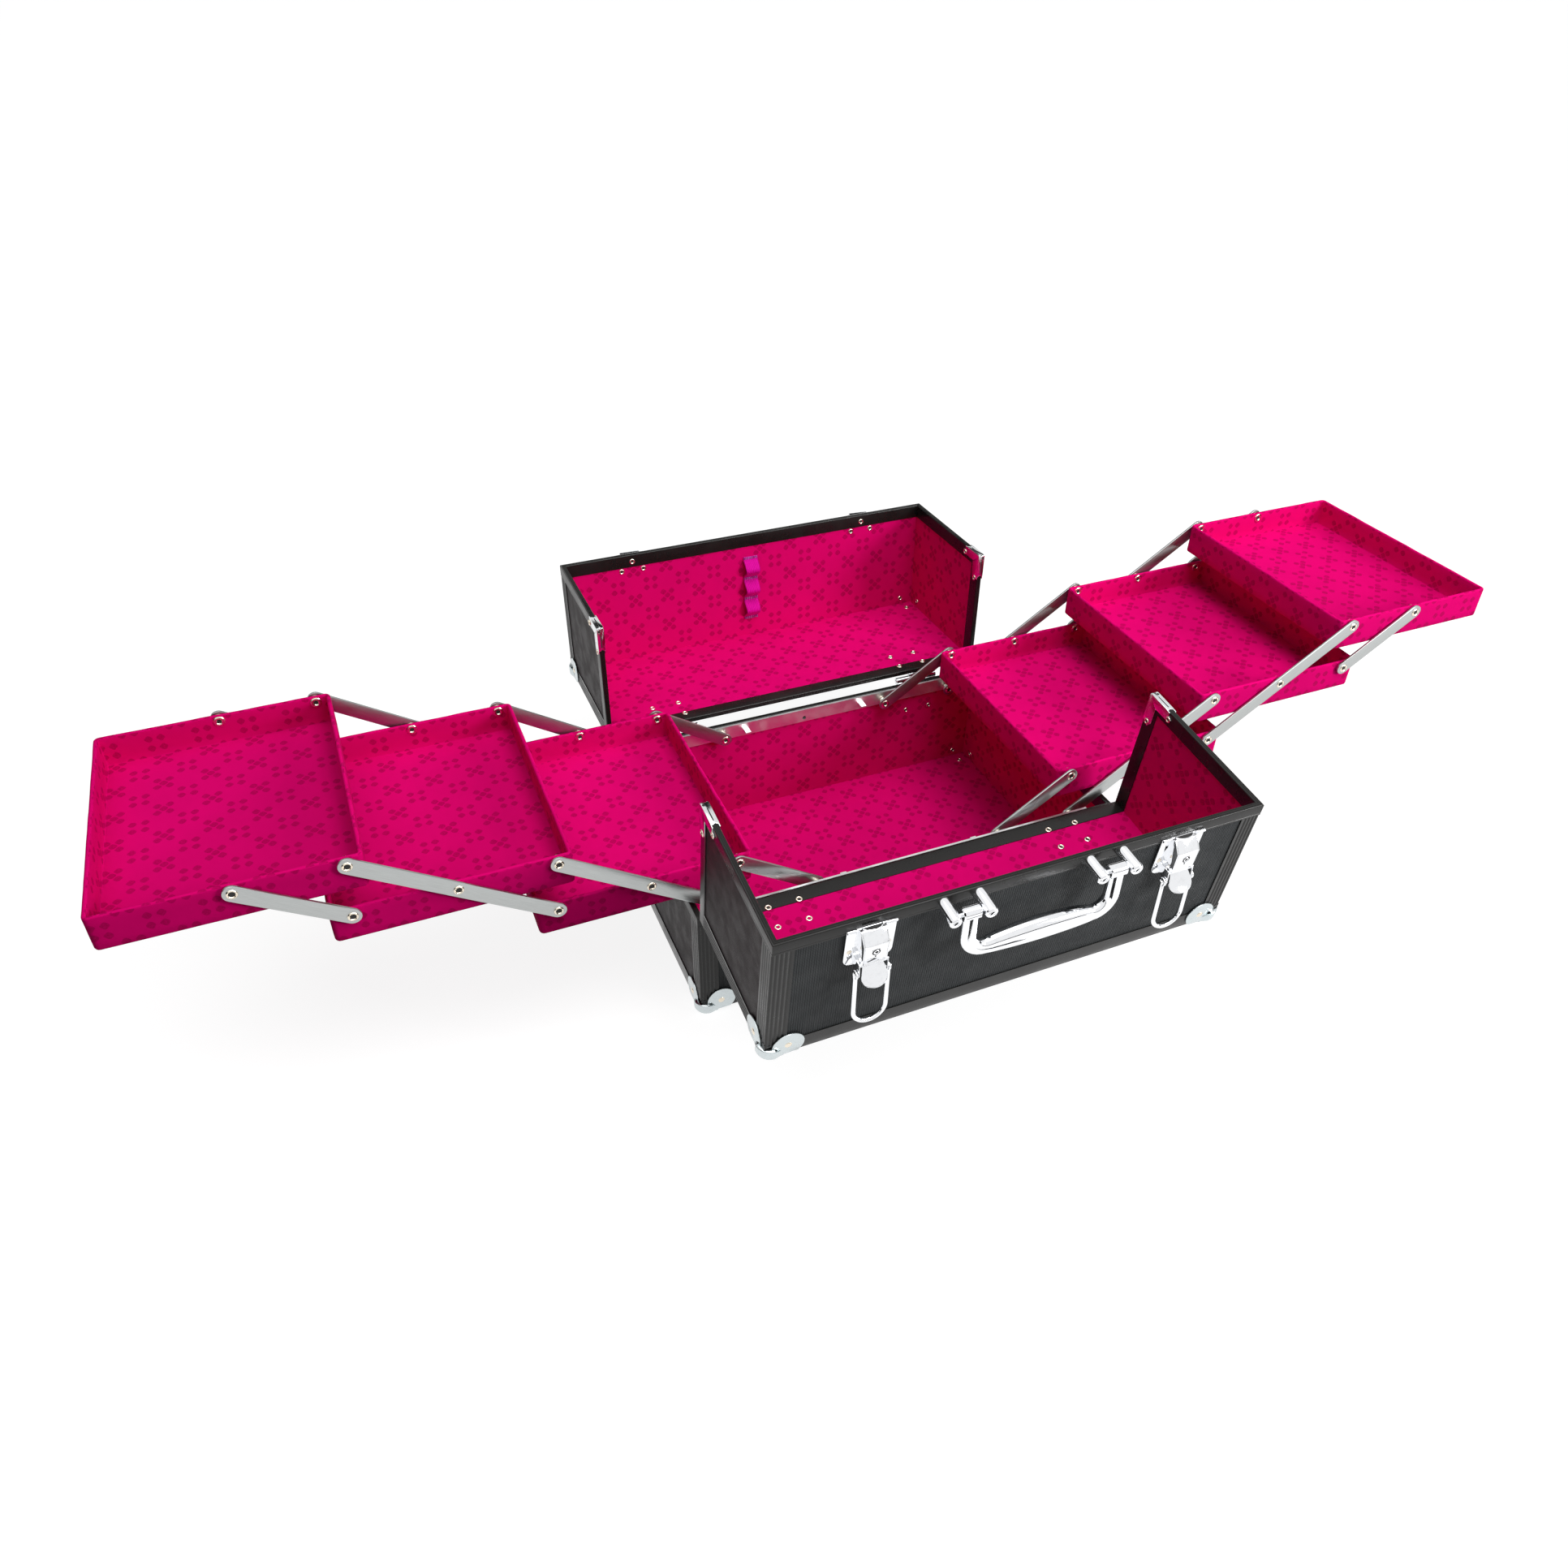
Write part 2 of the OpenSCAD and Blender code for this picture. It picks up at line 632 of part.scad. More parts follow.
module handle() {
  gripHalf = grip_x - bend_r;
  color(CHROME) onTop(-1) translate([0, grip_seam, grip_h]) rotate([front_open - 90, 0, 0]) {
    for (sx = [-1, 1]) mirror([sx < 0 ? 1 : 0, 0, 0]) {
      difference() {
        union() {
          translate([grip_x - eye_w / 2, 0, 0]) rotate([0, 90, 0]) cylinder(r = eye_r, h = eye_w);
          flat(leg_t) translate([grip_x, 0, 0]) rotate([-90, 0, 0]) cylinder(r = leg_r, h = grip_drop - bend_r);
        }
        translate([grip_x - eye_w, 0, 0]) rotate([0, 90, 0]) cylinder(r = grip_pin_r + run_gap, h = 2 * eye_w);
      }
      flat(leg_t) translate([gripHalf, grip_drop - bend_r, 0]) rotate_extrude(angle = 90) translate([bend_r, 0]) circle(r = leg_r);
    }
    flat(grip_t) translate([-gripHalf, grip_drop + leg_r - grip_r, 0]) rotate([0, 90, 0]) rotate_extrude()
      polygon(concat([[0, 0]],
        [for (i = [0:16]) [leg_r + (grip_r - leg_r) * pow(sin(i * 180 / 16), 0.5), i * 2 * gripHalf / 16]],
        [[0, 2 * gripHalf]]));
  }
}

// The latch's parts: a plate, a box over it with cheeks that run on below, the tongue
// between the cheeks, and the bail on the outside of their ends.
tongueZ = house_h - 2.6;                    // the tongue's pivot
bailZ = house_h - 1.5;                      // the bail's pivot
slope = 8;                                  // of the box's lid, towards the seam

module latchPlate() {
  h = house_w / 2;
  s = plate_seam + 0.5;
  u = tongue_at - 3.2;
  color(CHROME) difference() {
    union() {
      linear_extrude(height = plate_t) rounded(-plate_w / 2, plate_w / 2, plate_seam, plate_end, 5);
      for (sx = [-1, 1]) mirror([sx < 0 ? 1 : 0, 0, 0]) {
        translate([h - house_t, 0, 0]) rotate([90, 0, 90]) linear_extrude(height = house_t) {
          polygon([[s, 0.2], [s, house_h * 0.4], [s + slope, house_h], [tongue_at + 3, house_h],
            [bail_at, bailZ + 2.6], [bail_at, bailZ - 2.6], [tongue_at + 4, 2], [tongue_at + 4, 0.2]]);
          translate([bail_at, bailZ]) circle(r = 2.6);
        }
        translate([h - house_t, bail_at, bailZ]) rotate([0, 90, 0])
          cylinder(r = wire_r * 0.65, h = bail_w / 2 + wire_r - h + house_t);
      }
      translate([-h, 0, 0]) rotate([90, 0, 90]) linear_extrude(height = house_w)
        polygon([[s, 0.2], [s, house_h * 0.4], [s + slope, house_h], [u, house_h], [u, house_h - house_t],
          [s + slope + 0.6, house_h - house_t], [s + house_t, house_h * 0.4 - 0.5], [s + house_t, 0.2]]);
    }
    // keyhole
    translate([0, (s + slope + u) / 2 - 3.5, house_h - house_t - 1]) {
      cylinder(r = 2.2, h = 4);
      block(-0.9, 0.9, 0, 4.5, 0, 4);
    }
    // bearings of the tongue
    translate([-h - 1, tongue_at, tongueZ]) rotate([0, 90, 0]) cylinder(r = 1.2 + run_gap, h = house_w + 2);
  }
}
module latch_plate_l() { onTop(-1) translate([-latch_x, 0, 0]) latchPlate(); }
module latch_plate_r() { onTop(-1) translate([latch_x, 0, 0]) latchPlate(); }

module latchTongue() {
  h = house_w / 2;
  k = h - house_t - 0.3;
  color(CHROME) translate([0, tongue_at, tongueZ]) {
    translate([-k + 0.15, 0, 0]) rotate([0, 90, 0]) cylinder(r = 1.9, h = 2 * k - 0.3);
    translate([-h, 0, 0]) rotate([0, 90, 0]) cylinder(r = 1.2, h = house_w);
    rotate([tongue_open, 0, 0]) translate([0, 0, -0.7]) linear_extrude(height = 1.4) {
      intersection() {
        union() {
          translate([0, tongue_len - k * 1.15]) circle(r = k * 1.15);
          translate([-k, 0]) square([2 * k, tongue_len - k * 1.15]);
        }
        translate([-k, 1.5]) square([2 * k, tongue_len]);
      }
    }
  }
}
module latch_tongue_l() { onTop(-1) translate([-latch_x, 0, 0]) latchTongue(); }
module latch_tongue_r() { onTop(-1) translate([latch_x, 0, 0]) latchTongue(); }

module latchBail() {
  w = bail_w / 2;
  color(CHROME) translate([0, bail_at, bailZ]) rotate([front_open - 90, 0, 0]) {
    for (sx = [-1, 1]) difference() {
      union() {
        translate([sx * w - wire_r * 0.8, 0, 0]) rotate([0, 90, 0]) cylinder(r = wire_r * 1.5, h = wire_r * 1.6);
        translate([sx * w, wire_r, 0]) rotate([-90, 0, 0]) cylinder(r = wire_r, h = bail_len - w - wire_r);
      }
      translate([sx * w - wire_r - 1, 0, 0]) rotate([0, 90, 0]) cylinder(r = wire_r * 0.65 + run_gap, h = 2 * wire_r + 2);
    }
    translate([0, bail_len - w, 0]) rotate_extrude(angle = 180) translate([w, 0]) circle(r = wire_r);
  }
}
module latch_bail_l() { onTop(-1) translate([-latch_x, 0, 0]) latchBail(); }
module latch_bail_r() { onTop(-1) translate([latch_x, 0, 0]) latchBail(); }

// Plate with a hook that is open away from the seam, and its three rivets.
module latchCatch() {
  color(CHROME) {
    linear_extrude(height = plate_t) rounded(-catch_w / 2, catch_w / 2, 0.6, catch_len, 3);
    block(-catch_w * 0.36, catch_w * 0.36, 1, 1 + house_t, 0, catch_h);
    block(-catch_w * 0.36, catch_w * 0.36, 1, 6, catch_h - house_t, catch_h);
    mirror([0, 1, 0]) mirror([0, 0, 1]) catchRivets() rivet($depth);
  }
}
module catch_l() { onTop(1) translate([-latch_x, 0, 0]) latchCatch(); }
module catch_r() { onTop(1) translate([latch_x, 0, 0]) latchCatch(); }

// Elastic sewn down between its loops, on the lining of the back cover's top.
module brush_strap() {
  step = (strap_len - 3) / strap_loops;
  n = 12;
  function bow(t) = pow(sin(t * 180), 1.4);
  color(PINK) onTop(1) translate([-strap_w / 2, strap_from, -wall]) rotate([90, 0, 90]) {
    linear_extrude(height = strap_w) {
      difference() {
        polygon(concat(
          [[0, 0], [0, -elastic_t]],
          [for (k = [0:strap_loops - 1], i = [0:n]) [3 + k * step + i / n * (step - 3), -elastic_t - loop_h * bow(i / n)]],
          [[strap_len, -elastic_t], [strap_len, 0]]));
        for (k = [0:strap_loops - 1]) polygon(
          [for (i = [1:n - 1]) [3 + k * step + elastic_t * 0.8 + i / n * (step - 3 - elastic_t * 1.6), -elastic_t * 0.4 - (loop_h - elastic_t * 0.4) * bow(i / n)]]);
      }
    }
  }
}

// ---------- trays. i is the storey, 1 is the lowest. Drawn for the right-hand side.

module atPivots(i) {
  for (k = [0:(i < 3 ? 2 : 1)]) translate([trayX(i) + pivot_in + k * pivot_step, 0, trayTop(i) - pivot_drop]) children();
}

module tray(i) {
  x0 = trayX(i);
  x1 = x0 + tray_w;
  y = tray_d / 2;
  t = tray_wall;
  color(PINK) difference() {
    translate([0, 0, trayTop(i) - tray_h]) linear_extrude(height = tray_h) rounded(x0, x1, -y, y, tray_r);
    translate([0, 0, trayTop(i) - tray_h + tray_floor]) linear_extrude(height = tray_h)
      rounded(x0 + t, x1 - t, -y + t, y - t, tray_r - t > 0.5 ? tray_r - t : 0.5);
    atPivots(i) rotate([90, 0, 0]) translate([0, 0, -y - 1]) cylinder(r = barrel_r + run_gap, h = tray_d + 2);
  }
}

// The open pivots of a tray: its inner ones, which only close the linkage.
module looseHoles(i) {
  translate([trayX(i) + pivot_in, 0, trayTop(i) - pivot_drop]) rotate([90, 0, 0])
    translate([0, 0, -tray_d / 2 - 1]) cylinder(r = barrel_r + loose_gap, h = tray_d + 2);
}
module rightTray(i) { difference() { tray(i); looseHoles(i); } }
module leftSide() { mirror([1, 0, 0]) children(); }
module tray_r1() { rightTray(1); }
module tray_r2() { rightTray(2); }
module tray_r3() { rightTray(3); }
module tray_l1() { leftSide() rightTray(1); }
module tray_l2() { leftSide() rightTray(2); }
module tray_l3() { leftSide() rightTray(3); }

// ---------- arms. Each node is the front and the back arm of one pair.

// Hollow rivet that pins an arm to a tray's wall; y = 0 is the tray's face, +y is outwards.
module trayRivet() {
  rotate([-90, 0, 0]) {
    translate([0, 0, -tray_wall - air - flange_t]) cylinder(r = flange_r, h = flange_t);
    translate([0, 0, -tray_wall - air - e]) cylinder(r = barrel_r, h = tray_wall + arm_gap + air + 2 * e);
    translate([0, 0, air]) cylinder(r = flange_r, h = arm_gap - air + e);
    translate([0, 0, arm_gap + arm_t - e]) cylinder(r = flange_r, h = flange_t);
  }
}

// Rivet that pins an arm to a bracket bar; y = 0 is the arm's inner face.
module barRivet() {
  rotate([-90, 0, 0]) {
    translate([0, 0, -flange_t]) cylinder(r = flange_r, h = flange_t + e);
    translate([0, 0, arm_t - e]) cylinder(r = flange_r, h = barOut - bar_t - air - armIn - arm_t);
    translate([0, 0, arm_t - e]) cylinder(r = barrel_r, h = barOut - air - armIn - arm_t);
  }
}

// An arm pair from (x, z) on n spacings; fixed is true where its first pivot is on a bar.
module arms(x, z, n, fixed) {
  color(ALU) for (sy = [-1, 1]) mirror([0, sy < 0 ? 1 : 0, 0]) difference() {
    union() {
      translate([x, armIn, z]) rotate([0, -arm_open, 0]) {
        block(0, n * arm_step, 0, arm_t, -arm_w / 2, arm_w / 2);
        for (k = [0, n]) translate([k * arm_step, 0, 0]) rotate([-90, 0, 0]) cylinder(r = arm_w / 2, h = arm_t);
      }
      for (k = [0:n]) translate([x + k * reach, 0, z + k * rise])
        if (fixed && k == 0) translate([0, armIn, 0]) barRivet();
        else translate([0, tray_d / 2, 0]) trayRivet();
    }
    for (k = [0:n]) translate([x + k * reach, tray_d / 2 - tray_wall - 3, z + k * rise]) rotate([-90, 0, 0])
      cylinder(r = eyelet_r, h = case_d);
  }
}

module rightArm(k) {
  lowX = function(i) trayX(i) + pivot_in + 2 * pivot_step;
  lowZ = function(i) trayTop(i) - pivot_drop;
  if (k == 1) arms(fixedOut, fixedZ, 2, true);
  if (k == 2) arms(lowX(1), lowZ(1), 2, false);
  if (k == 3) arms(lowX(2), lowZ(2), 1, false);
  if (k == 4) arms(fixed_x, fixedZ, 1, true);
}
module arm_r1() { rightArm(1); }
module arm_r2() { rightArm(2); }
module arm_r3() { rightArm(3); }
module arm_r4() { rightArm(4); }
module arm_l1() { leftSide() rightArm(1); }
module arm_l2() { leftSide() rightArm(2); }
module arm_l3() { leftSide() rightArm(3); }
module arm_l4() { leftSide() rightArm(4); }

base_panels();
base_lining();
base_frame();
atCorner(-1, -1, foot, false) cap();  // base_cap_fl
atCorner(1, -1, foot, false) cap();  // base_cap_fr
atCorner(-1, 1, foot, false) cap();  // base_cap_bl
atCorner(1, 1, foot, false) cap();  // base_cap_br
bar_front();
bar_back();
leaf_base_fl();
leaf_base_fr();
leaf_base_bl();
leaf_base_br();
front_panels();
front_lining();
front_frame();
front_cap_l();
front_cap_r();
front_clip_l();
front_clip_r();
leaf_front_l();
leaf_front_r();
latch_plate_l();
latch_plate_r();
handle_mount_l();
handle_mount_r();
handle();
latch_tongue_l();
latch_tongue_r();
latch_bail_l();
latch_bail_r();
back_panels();
back_lining();
back_frame();
back_cap_l();
back_cap_r();
back_clip_l();
back_clip_r();
leaf_back_l();
leaf_back_r();
catch_l();
catch_r();
brush_strap();
tray_l1();
tray_l2();
tray_l3();
arm_l1();
arm_l2();
arm_l3();
arm_l4();
tray_r1();
tray_r2();
tray_r3();
arm_r1();
arm_r2();
arm_r3();
arm_r4();
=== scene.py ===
import bpy, bmesh
from math import sin, cos, pi, radians, sqrt
from mathutils import Matrix, Vector, noise


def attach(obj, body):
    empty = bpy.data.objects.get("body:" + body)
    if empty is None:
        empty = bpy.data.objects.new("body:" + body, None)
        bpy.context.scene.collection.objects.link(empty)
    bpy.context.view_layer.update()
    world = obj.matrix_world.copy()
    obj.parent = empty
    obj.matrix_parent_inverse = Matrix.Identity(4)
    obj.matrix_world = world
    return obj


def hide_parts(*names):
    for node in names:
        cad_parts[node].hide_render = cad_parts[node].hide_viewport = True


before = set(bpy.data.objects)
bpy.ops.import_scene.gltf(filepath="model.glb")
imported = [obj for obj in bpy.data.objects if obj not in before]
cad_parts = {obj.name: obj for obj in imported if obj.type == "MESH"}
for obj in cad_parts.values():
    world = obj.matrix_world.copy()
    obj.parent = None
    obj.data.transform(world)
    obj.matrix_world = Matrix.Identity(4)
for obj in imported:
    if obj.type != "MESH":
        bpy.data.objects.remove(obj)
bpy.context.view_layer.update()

# sizes of the case in mm, the same as the solids'
case = {"w": 370, "d": 234, "baseH": 104, "coverH": 129, "frontDepth": 121, "wall": 4.0, "web": 0.6,
        "skin": 0.7, "foot": 1.2, "pinOut": 5, "frontOpen": 97, "backOpen": 91, "edgeW": 14, "cornerW": 15.5}
inner = case["wall"] + case["web"]
topZ = case["foot"] + case["baseH"]
w2, d2 = case["w"] / 2, case["d"] / 2
ends = ((-1, "l"), (1, "r"))
sides = ((-1, "front"), (1, "back"))


def linked(name, data):
    o = bpy.data.objects.new(name, data)
    bpy.context.scene.collection.objects.link(o)
    return o


# camera: found from the case's own corners in the photograph
cameraSet = {"yaw": 0.39850, "pitch": 0.64009, "roll": 0.011463, "target": (-0.05031, 0.04216, 0.1),
             "distance": 1.06661, "focal": 1492.55, "centre": (964.12, 944.15), "frame": 1932}


def makeCamera(c):
    yaw, pitch, roll = c["yaw"], c["pitch"], c["roll"]
    ahead = Vector((sin(yaw) * cos(pitch), cos(yaw) * cos(pitch), -sin(pitch)))
    right = Vector((cos(yaw), -sin(yaw), 0))
    up = right.cross(ahead)
    right, up = right * cos(roll) + up * sin(roll), up * cos(roll) - right * sin(roll)
    place = Vector(c["target"]) - ahead * c["distance"]
    lens = bpy.data.cameras.new("camera")
    lens.sensor_width = 36
    lens.lens = c["focal"] / c["frame"] * 36
    lens.shift_x = (c["frame"] / 2 - c["centre"][0]) / c["frame"]
    lens.shift_y = (c["centre"][1] - c["frame"] / 2) / c["frame"]
    lens.clip_start, lens.clip_end = 0.02, 60
    camera = linked("camera", lens)
    camera.matrix_world = Matrix(((right.x, up.x, -ahead.x, place.x), (right.y, up.y, -ahead.y, place.y),
                                  (right.z, up.z, -ahead.z, place.z), (0, 0, 0, 1)))
    bpy.context.scene.camera = camera


makeCamera(cameraSet)
bpy.context.scene.view_settings.view_transform = "Standard"
print("camera placed")


# shader maths: a socket with operators, a node tree, and a finish made of one
class Val:
    def __init__(self, owner, socket):
        self.owner, self.socket = owner, socket

    def maths(self, operation, *values):
        return self.owner.add("ShaderNodeMath", {"operation": operation}, dict(enumerate(values)))

    def most(self, other):
        return self.maths("MAXIMUM", self, other)

    def fraction(self):
        return self.maths("FRACT", self)

    def __abs__(self):
        return self.maths("ABSOLUTE", self)

    def __add__(self, other):
        return self.maths("ADD", self, other)

    def __radd__(self, other):
        return self.maths("ADD", other, self)

    def __sub__(self, other):
        return self.maths("SUBTRACT", self, other)

    def __rsub__(self, other):
        return self.maths("SUBTRACT", other, self)

    def __mul__(self, other):
        return self.maths("MULTIPLY", self, other)

    def __rmul__(self, other):
        return self.maths("MULTIPLY", other, self)

    def __truediv__(self, other):
        return self.maths("DIVIDE", self, other)

    def __rtruediv__(self, other):
        return self.maths("DIVIDE", other, self)

    def __pow__(self, other):
        return self.maths("POWER", self, other)

    def __rpow__(self, other):
        return self.maths("POWER", other, self)

    def __lt__(self, other):
        return self.maths("LESS_THAN", self, other)

    def __gt__(self, other):
        return self.maths("GREATER_THAN", self, other)


class Nodes:
    def __init__(self, tree):
        self.tree = tree

    def add(self, kind, settings=None, sockets=None, out=0):
        node = self.tree.nodes.new(kind)
        for key, value in (settings or {}).items():
            setattr(node, key, value)
        for key, value in (sockets or {}).items():
            self.feed(node.inputs[key], value)
        return Val(self, node.outputs[out])

    def feed(self, socket, value):
        if isinstance(value, Val):
            self.tree.links.new(value.socket, socket)
        else:
            socket.default_value = value

    def outputs(self, kind, names, sockets=None):
        node = self.add(kind, None, sockets).socket.node
        return [Val(self, node.outputs[name]) for name in names]

    def split(self, vector):
        return self.outputs("ShaderNodeSeparateXYZ", "XYZ", {0: vector})

    def wave(self, value, pitch):
        turned = value * (2 * pi / pitch)
        return turned.maths("SINE", turned)

    def noise(self, vector, scale, detail=2, roughness=0.5):
        return self.add("ShaderNodeTexNoise", None, {"Vector": vector, "Scale": scale, "Detail": detail,
                                                     "Roughness": roughness})

    def step(self, value, low, high, to=(0, 1)):
        return self.add("ShaderNodeMapRange", {"interpolation_type": "SMOOTHSTEP"},
                        {"Value": value, "From Min": low, "From Max": high, "To Min": to[0], "To Max": to[1]})

    def mix(self, factor, a, b):
        tone = lambda c: c if isinstance(c, Val) else (*c, 1)
        return self.add("ShaderNodeMix", {"data_type": "RGBA"}, {0: factor, 6: tone(a), 7: tone(b)}, out=2)


class Finish(Nodes):
    def __init__(self, name, colour, roughness, **fixed):
        self.material = bpy.data.materials.new(name)
        self.material.use_nodes = True
        super().__init__(self.material.node_tree)
        self.shader = self.tree.nodes["Principled BSDF"]
        self.set(Base_Color=(*colour, 1), Roughness=roughness, **fixed)
        self.material.diffuse_color = (*colour, 1)

    def set(self, **sockets):
        for key, value in sockets.items():
            self.feed(self.shader.inputs[key.replace("_", " ")], value)

    def bump(self, height, distance, strength):
        self.set(Normal=self.add("ShaderNodeBump", None, {"Height": height, "Distance": distance,
                                                          "Strength": strength}))


# finishes
tones = {"pink": (0.67, 0.0006, 0.142), "print": (0.40, 0.0004, 0.076), "elastic": (0.90, 0.002, 0.42),
         # the skin's lighter tones, for the tops of its relief, are painted highlights
         "thread": (0.55, 0.20, 0.62), "skin": (0.015, 0.017, 0.018), "skinRidgeHighlight": (0.062, 0.066, 0.069),
         "skinEnd": (0.010, 0.005, 0.006), "skinEndRidgeHighlight": (0.030, 0.018, 0.020),
         "anodised": (0.008, 0.0075, 0.007), "rubbed": (0.045, 0.042, 0.038), "chrome": (0.86, 0.87, 0.89),
         "cap": (0.58, 0.63, 0.64), "clip": (0.72, 0.74, 0.75), "nickel": (0.78, 0.70, 0.58),
         # the last, near-black tone is painted shade for holes, slots and recesses
         "satin": (0.44, 0.455, 0.45), "bar": (0.84, 0.84, 0.85), "hole": (0.004, 0.004, 0.004)}


def times(c, tone):
    return tuple(c * part for part in tone)


# cloth: printed crosses of five dots, in metres, but for the half widths in mm between which a dot fades
clothSet = {"pitch": 0.0225, "cell": 0.0058, "dot": (2.2, 2.75), "thread": 0.0007, "fade": (0.55, 1.0)}


def printedCloth(name, base, motif, s=clothSet):
    pitch, cell = s["pitch"], s["cell"]
    f = Finish(name, base, 0.82, Specular_IOR_Level=0.03)
    uv = f.add("ShaderNodeTexCoord", out="UV")
    x, y, _ = f.split(uv)
    p, q = (x + y) * sqrt(0.5), (x - y) * sqrt(0.5)
    pc, qc = (((v / pitch).fraction() - 0.5) * pitch for v in (p, q))
    cp, cq = (abs(((v / cell + 0.5).fraction() - 0.5) * cell) * 1000 for v in (pc, qc))
    rounded = (cp ** 3 + cq ** 3) ** (1 / 3) + (f.noise(uv, 420, 2) - 0.5) * 0.9
    dot = f.step(rounded, *s["dot"], (1, 0))
    inP, inQ = abs(pc) < 0.5 * cell, abs(qc) < 0.5 * cell
    cross = (abs(pc) < 1.5 * cell) * (abs(qc) < 1.5 * cell) * inP.most(inQ)
    odd = f.wave(p, 2 * pitch) * f.wave(q, 2 * pitch) > 0   # every other cross has no middle
    mask = dot * cross * (1 - inP * inQ * odd)
    worn = f.step(f.noise(uv, 900, 3), 0.25, 0.75, s["fade"])
    shade = f.step(f.noise(uv, 28, 3), 0.2, 0.8, (0.0, 0.16))
    threads = f.wave(x, s["thread"]) * f.wave(y, s["thread"])
    # the crowns of the weave's threads are painted a little lighter than the cloth, a painted highlight
    bright = tuple(min(1, 1.35 * c + 0.004) for c in base)
    ground = f.mix(f.step(threads, -0.2, 1.0, (0.0, 0.10)), f.mix(shade, base, times(0.7, base)), bright)
    f.set(Base_Color=f.mix(mask * worn, ground, motif), Roughness=f.step(mask, 0, 1, (0.84, 0.66)))
    f.bump(threads * 0.5 + f.noise(uv, 160, 3) * 1.4 + mask * -0.4, 0.00012, 0.7)
    return f.material


def elasticBand(name, base):
    f = Finish(name, base, 0.6, Specular_IOR_Level=0.08)
    uv = f.add("ShaderNodeTexCoord", out="UV")
    x, y, _ = f.split(uv)
    ribs, picks = f.wave(x, 0.0011), f.wave(y, 0.0009)
    # the troughs between the ribs are painted darker than their tops, painted shade
    f.set(Base_Color=f.mix(f.step(ribs, -1, 1, (0, 0.55)), times(0.62, base), base))
    f.bump(ribs + picks * 0.4, 0.00018, 0.8)
    return f.material


# case skin: the pitches of its diamond weave and ribs and the height of its relief, in metres
skinSet = {"weave": 0.0024, "ribs": 0.0017, "relief": 0.00022}


def caseSkin(name, sy=0, turned=0):
    # embossed sheet: fine upright ribs on the long sides, a small diamond weave on the ends
    f = Finish(name, tones["skin"], 0.5, Specular_IOR_Level=0.11)
    place, facing = f.outputs("ShaderNodeTexCoord", ("Object", "Normal"))
    if turned:
        # back to the shut cover's frame, about its hinge pin
        pin = (0, sy * (d2 + case["pinOut"]) / 1000, topZ / 1000)
        back = {"Axis": (1, 0, 0), "Angle": sy * radians(turned)}
        place = f.add("ShaderNodeVectorRotate", None, {"Vector": place, "Center": pin, **back})
        facing = f.add("ShaderNodeVectorRotate", None, {"Vector": facing, "Center": (0, 0, 0), **back})
    x, y, z = f.split(place)
    nx, _, nz = f.split(facing)
    end, lid = abs(nx) > 0.7, abs(nz) > 0.7
    u = x * (1 - end) + y * end
    v = z * (1 - lid) + y * lid
    weave = f.wave(u + v, skinSet["weave"]) * f.wave(u - v, skinSet["weave"])
    height = weave * (0.55 + end * 0.45) + f.wave(u, skinSet["ribs"]) * (1 - end) * 0.5
    stain = f.step(f.noise(place, 14, 3), 0.25, 0.75, (0, 0.05))
    # the raised parts of the relief are painted lighter than its hollows, a painted highlight; stain adds a
    # random tone of the sheet's own on top
    high = f.step(height, -0.9, 1.0, (0, 0.62)) + stain
    longSide = f.mix(high, tones["skin"], tones["skinRidgeHighlight"])
    shortEnd = f.mix(high, tones["skinEnd"], tones["skinEndRidgeHighlight"])
    f.set(Base_Color=f.mix(end, longSide, shortEnd),
          Roughness=f.step(f.noise(place, 60, 3), 0.3, 0.7, (0.42, 0.56)))
    f.bump(height, skinSet["relief"], 0.9)
    return f.material


def anodised(name, base, low, high):
    f = Finish(name, base, low, Specular_IOR_Level=0.28)
    place = f.add("ShaderNodeTexCoord", out="Object")
    rub = f.step(f.noise(place, 210, 4, 0.7), 0.60, 0.80)
    f.set(Base_Color=f.mix(rub * 0.35, base, tones["rubbed"]),
          Roughness=f.step(f.noise(place, 46, 4, 0.6), 0.3, 0.7, (low, high)))
    f.bump(f.noise(place, 900, 2), 0.00003, 0.35)
    return f.material


def plated(name, base, low, high):
    f = Finish(name, base, low, Metallic=1.0)
    place = f.add("ShaderNodeTexCoord", out="Object")
    dull = f.step(f.noise(place, 320, 3), 0.45, 0.8, (0, 0.35))
    f.set(Base_Color=f.mix(dull, base, times(0.82, base)),
          Roughness=f.step(f.noise(place, 75, 4, 0.6), 0.35, 0.75, (low, high)))
    f.bump(f.noise(place, 120, 2), 0.00002, 0.5)
    return f.material


def brushed(name, base, low, high):
    # satin sheet with its grain along u
    f = Finish(name, base, low, Metallic=1.0)
    uv = f.add("ShaderNodeTexCoord", out="UV")
    grain = f.add("ShaderNodeMapping", None, {"Vector": uv, "Scale": (60, 2600, 1)})
    lines = f.noise(grain, 1, 3, 0.6)
    f.set(Base_Color=f.mix(f.step(lines, 0.3, 0.8, (0, 0.5)), base, times(0.75, base)),
          Roughness=f.step(lines, 0.25, 0.75, (low, high)))
    f.bump(lines + f.noise(uv, 90, 2) * 0.8, 0.00003, 0.6)
    return f.material


# painted shade: a near-black finish for discs and plates set where holes, slots and recesses would lie in
# shade
def paintedShade(name, base):
    f = Finish(name, base, 0.7)
    place = f.add("ShaderNodeTexCoord", out="Object")
    f.set(Base_Color=f.mix(f.noise(place, 600, 2), base, times(2.2, base)))
    return f.material


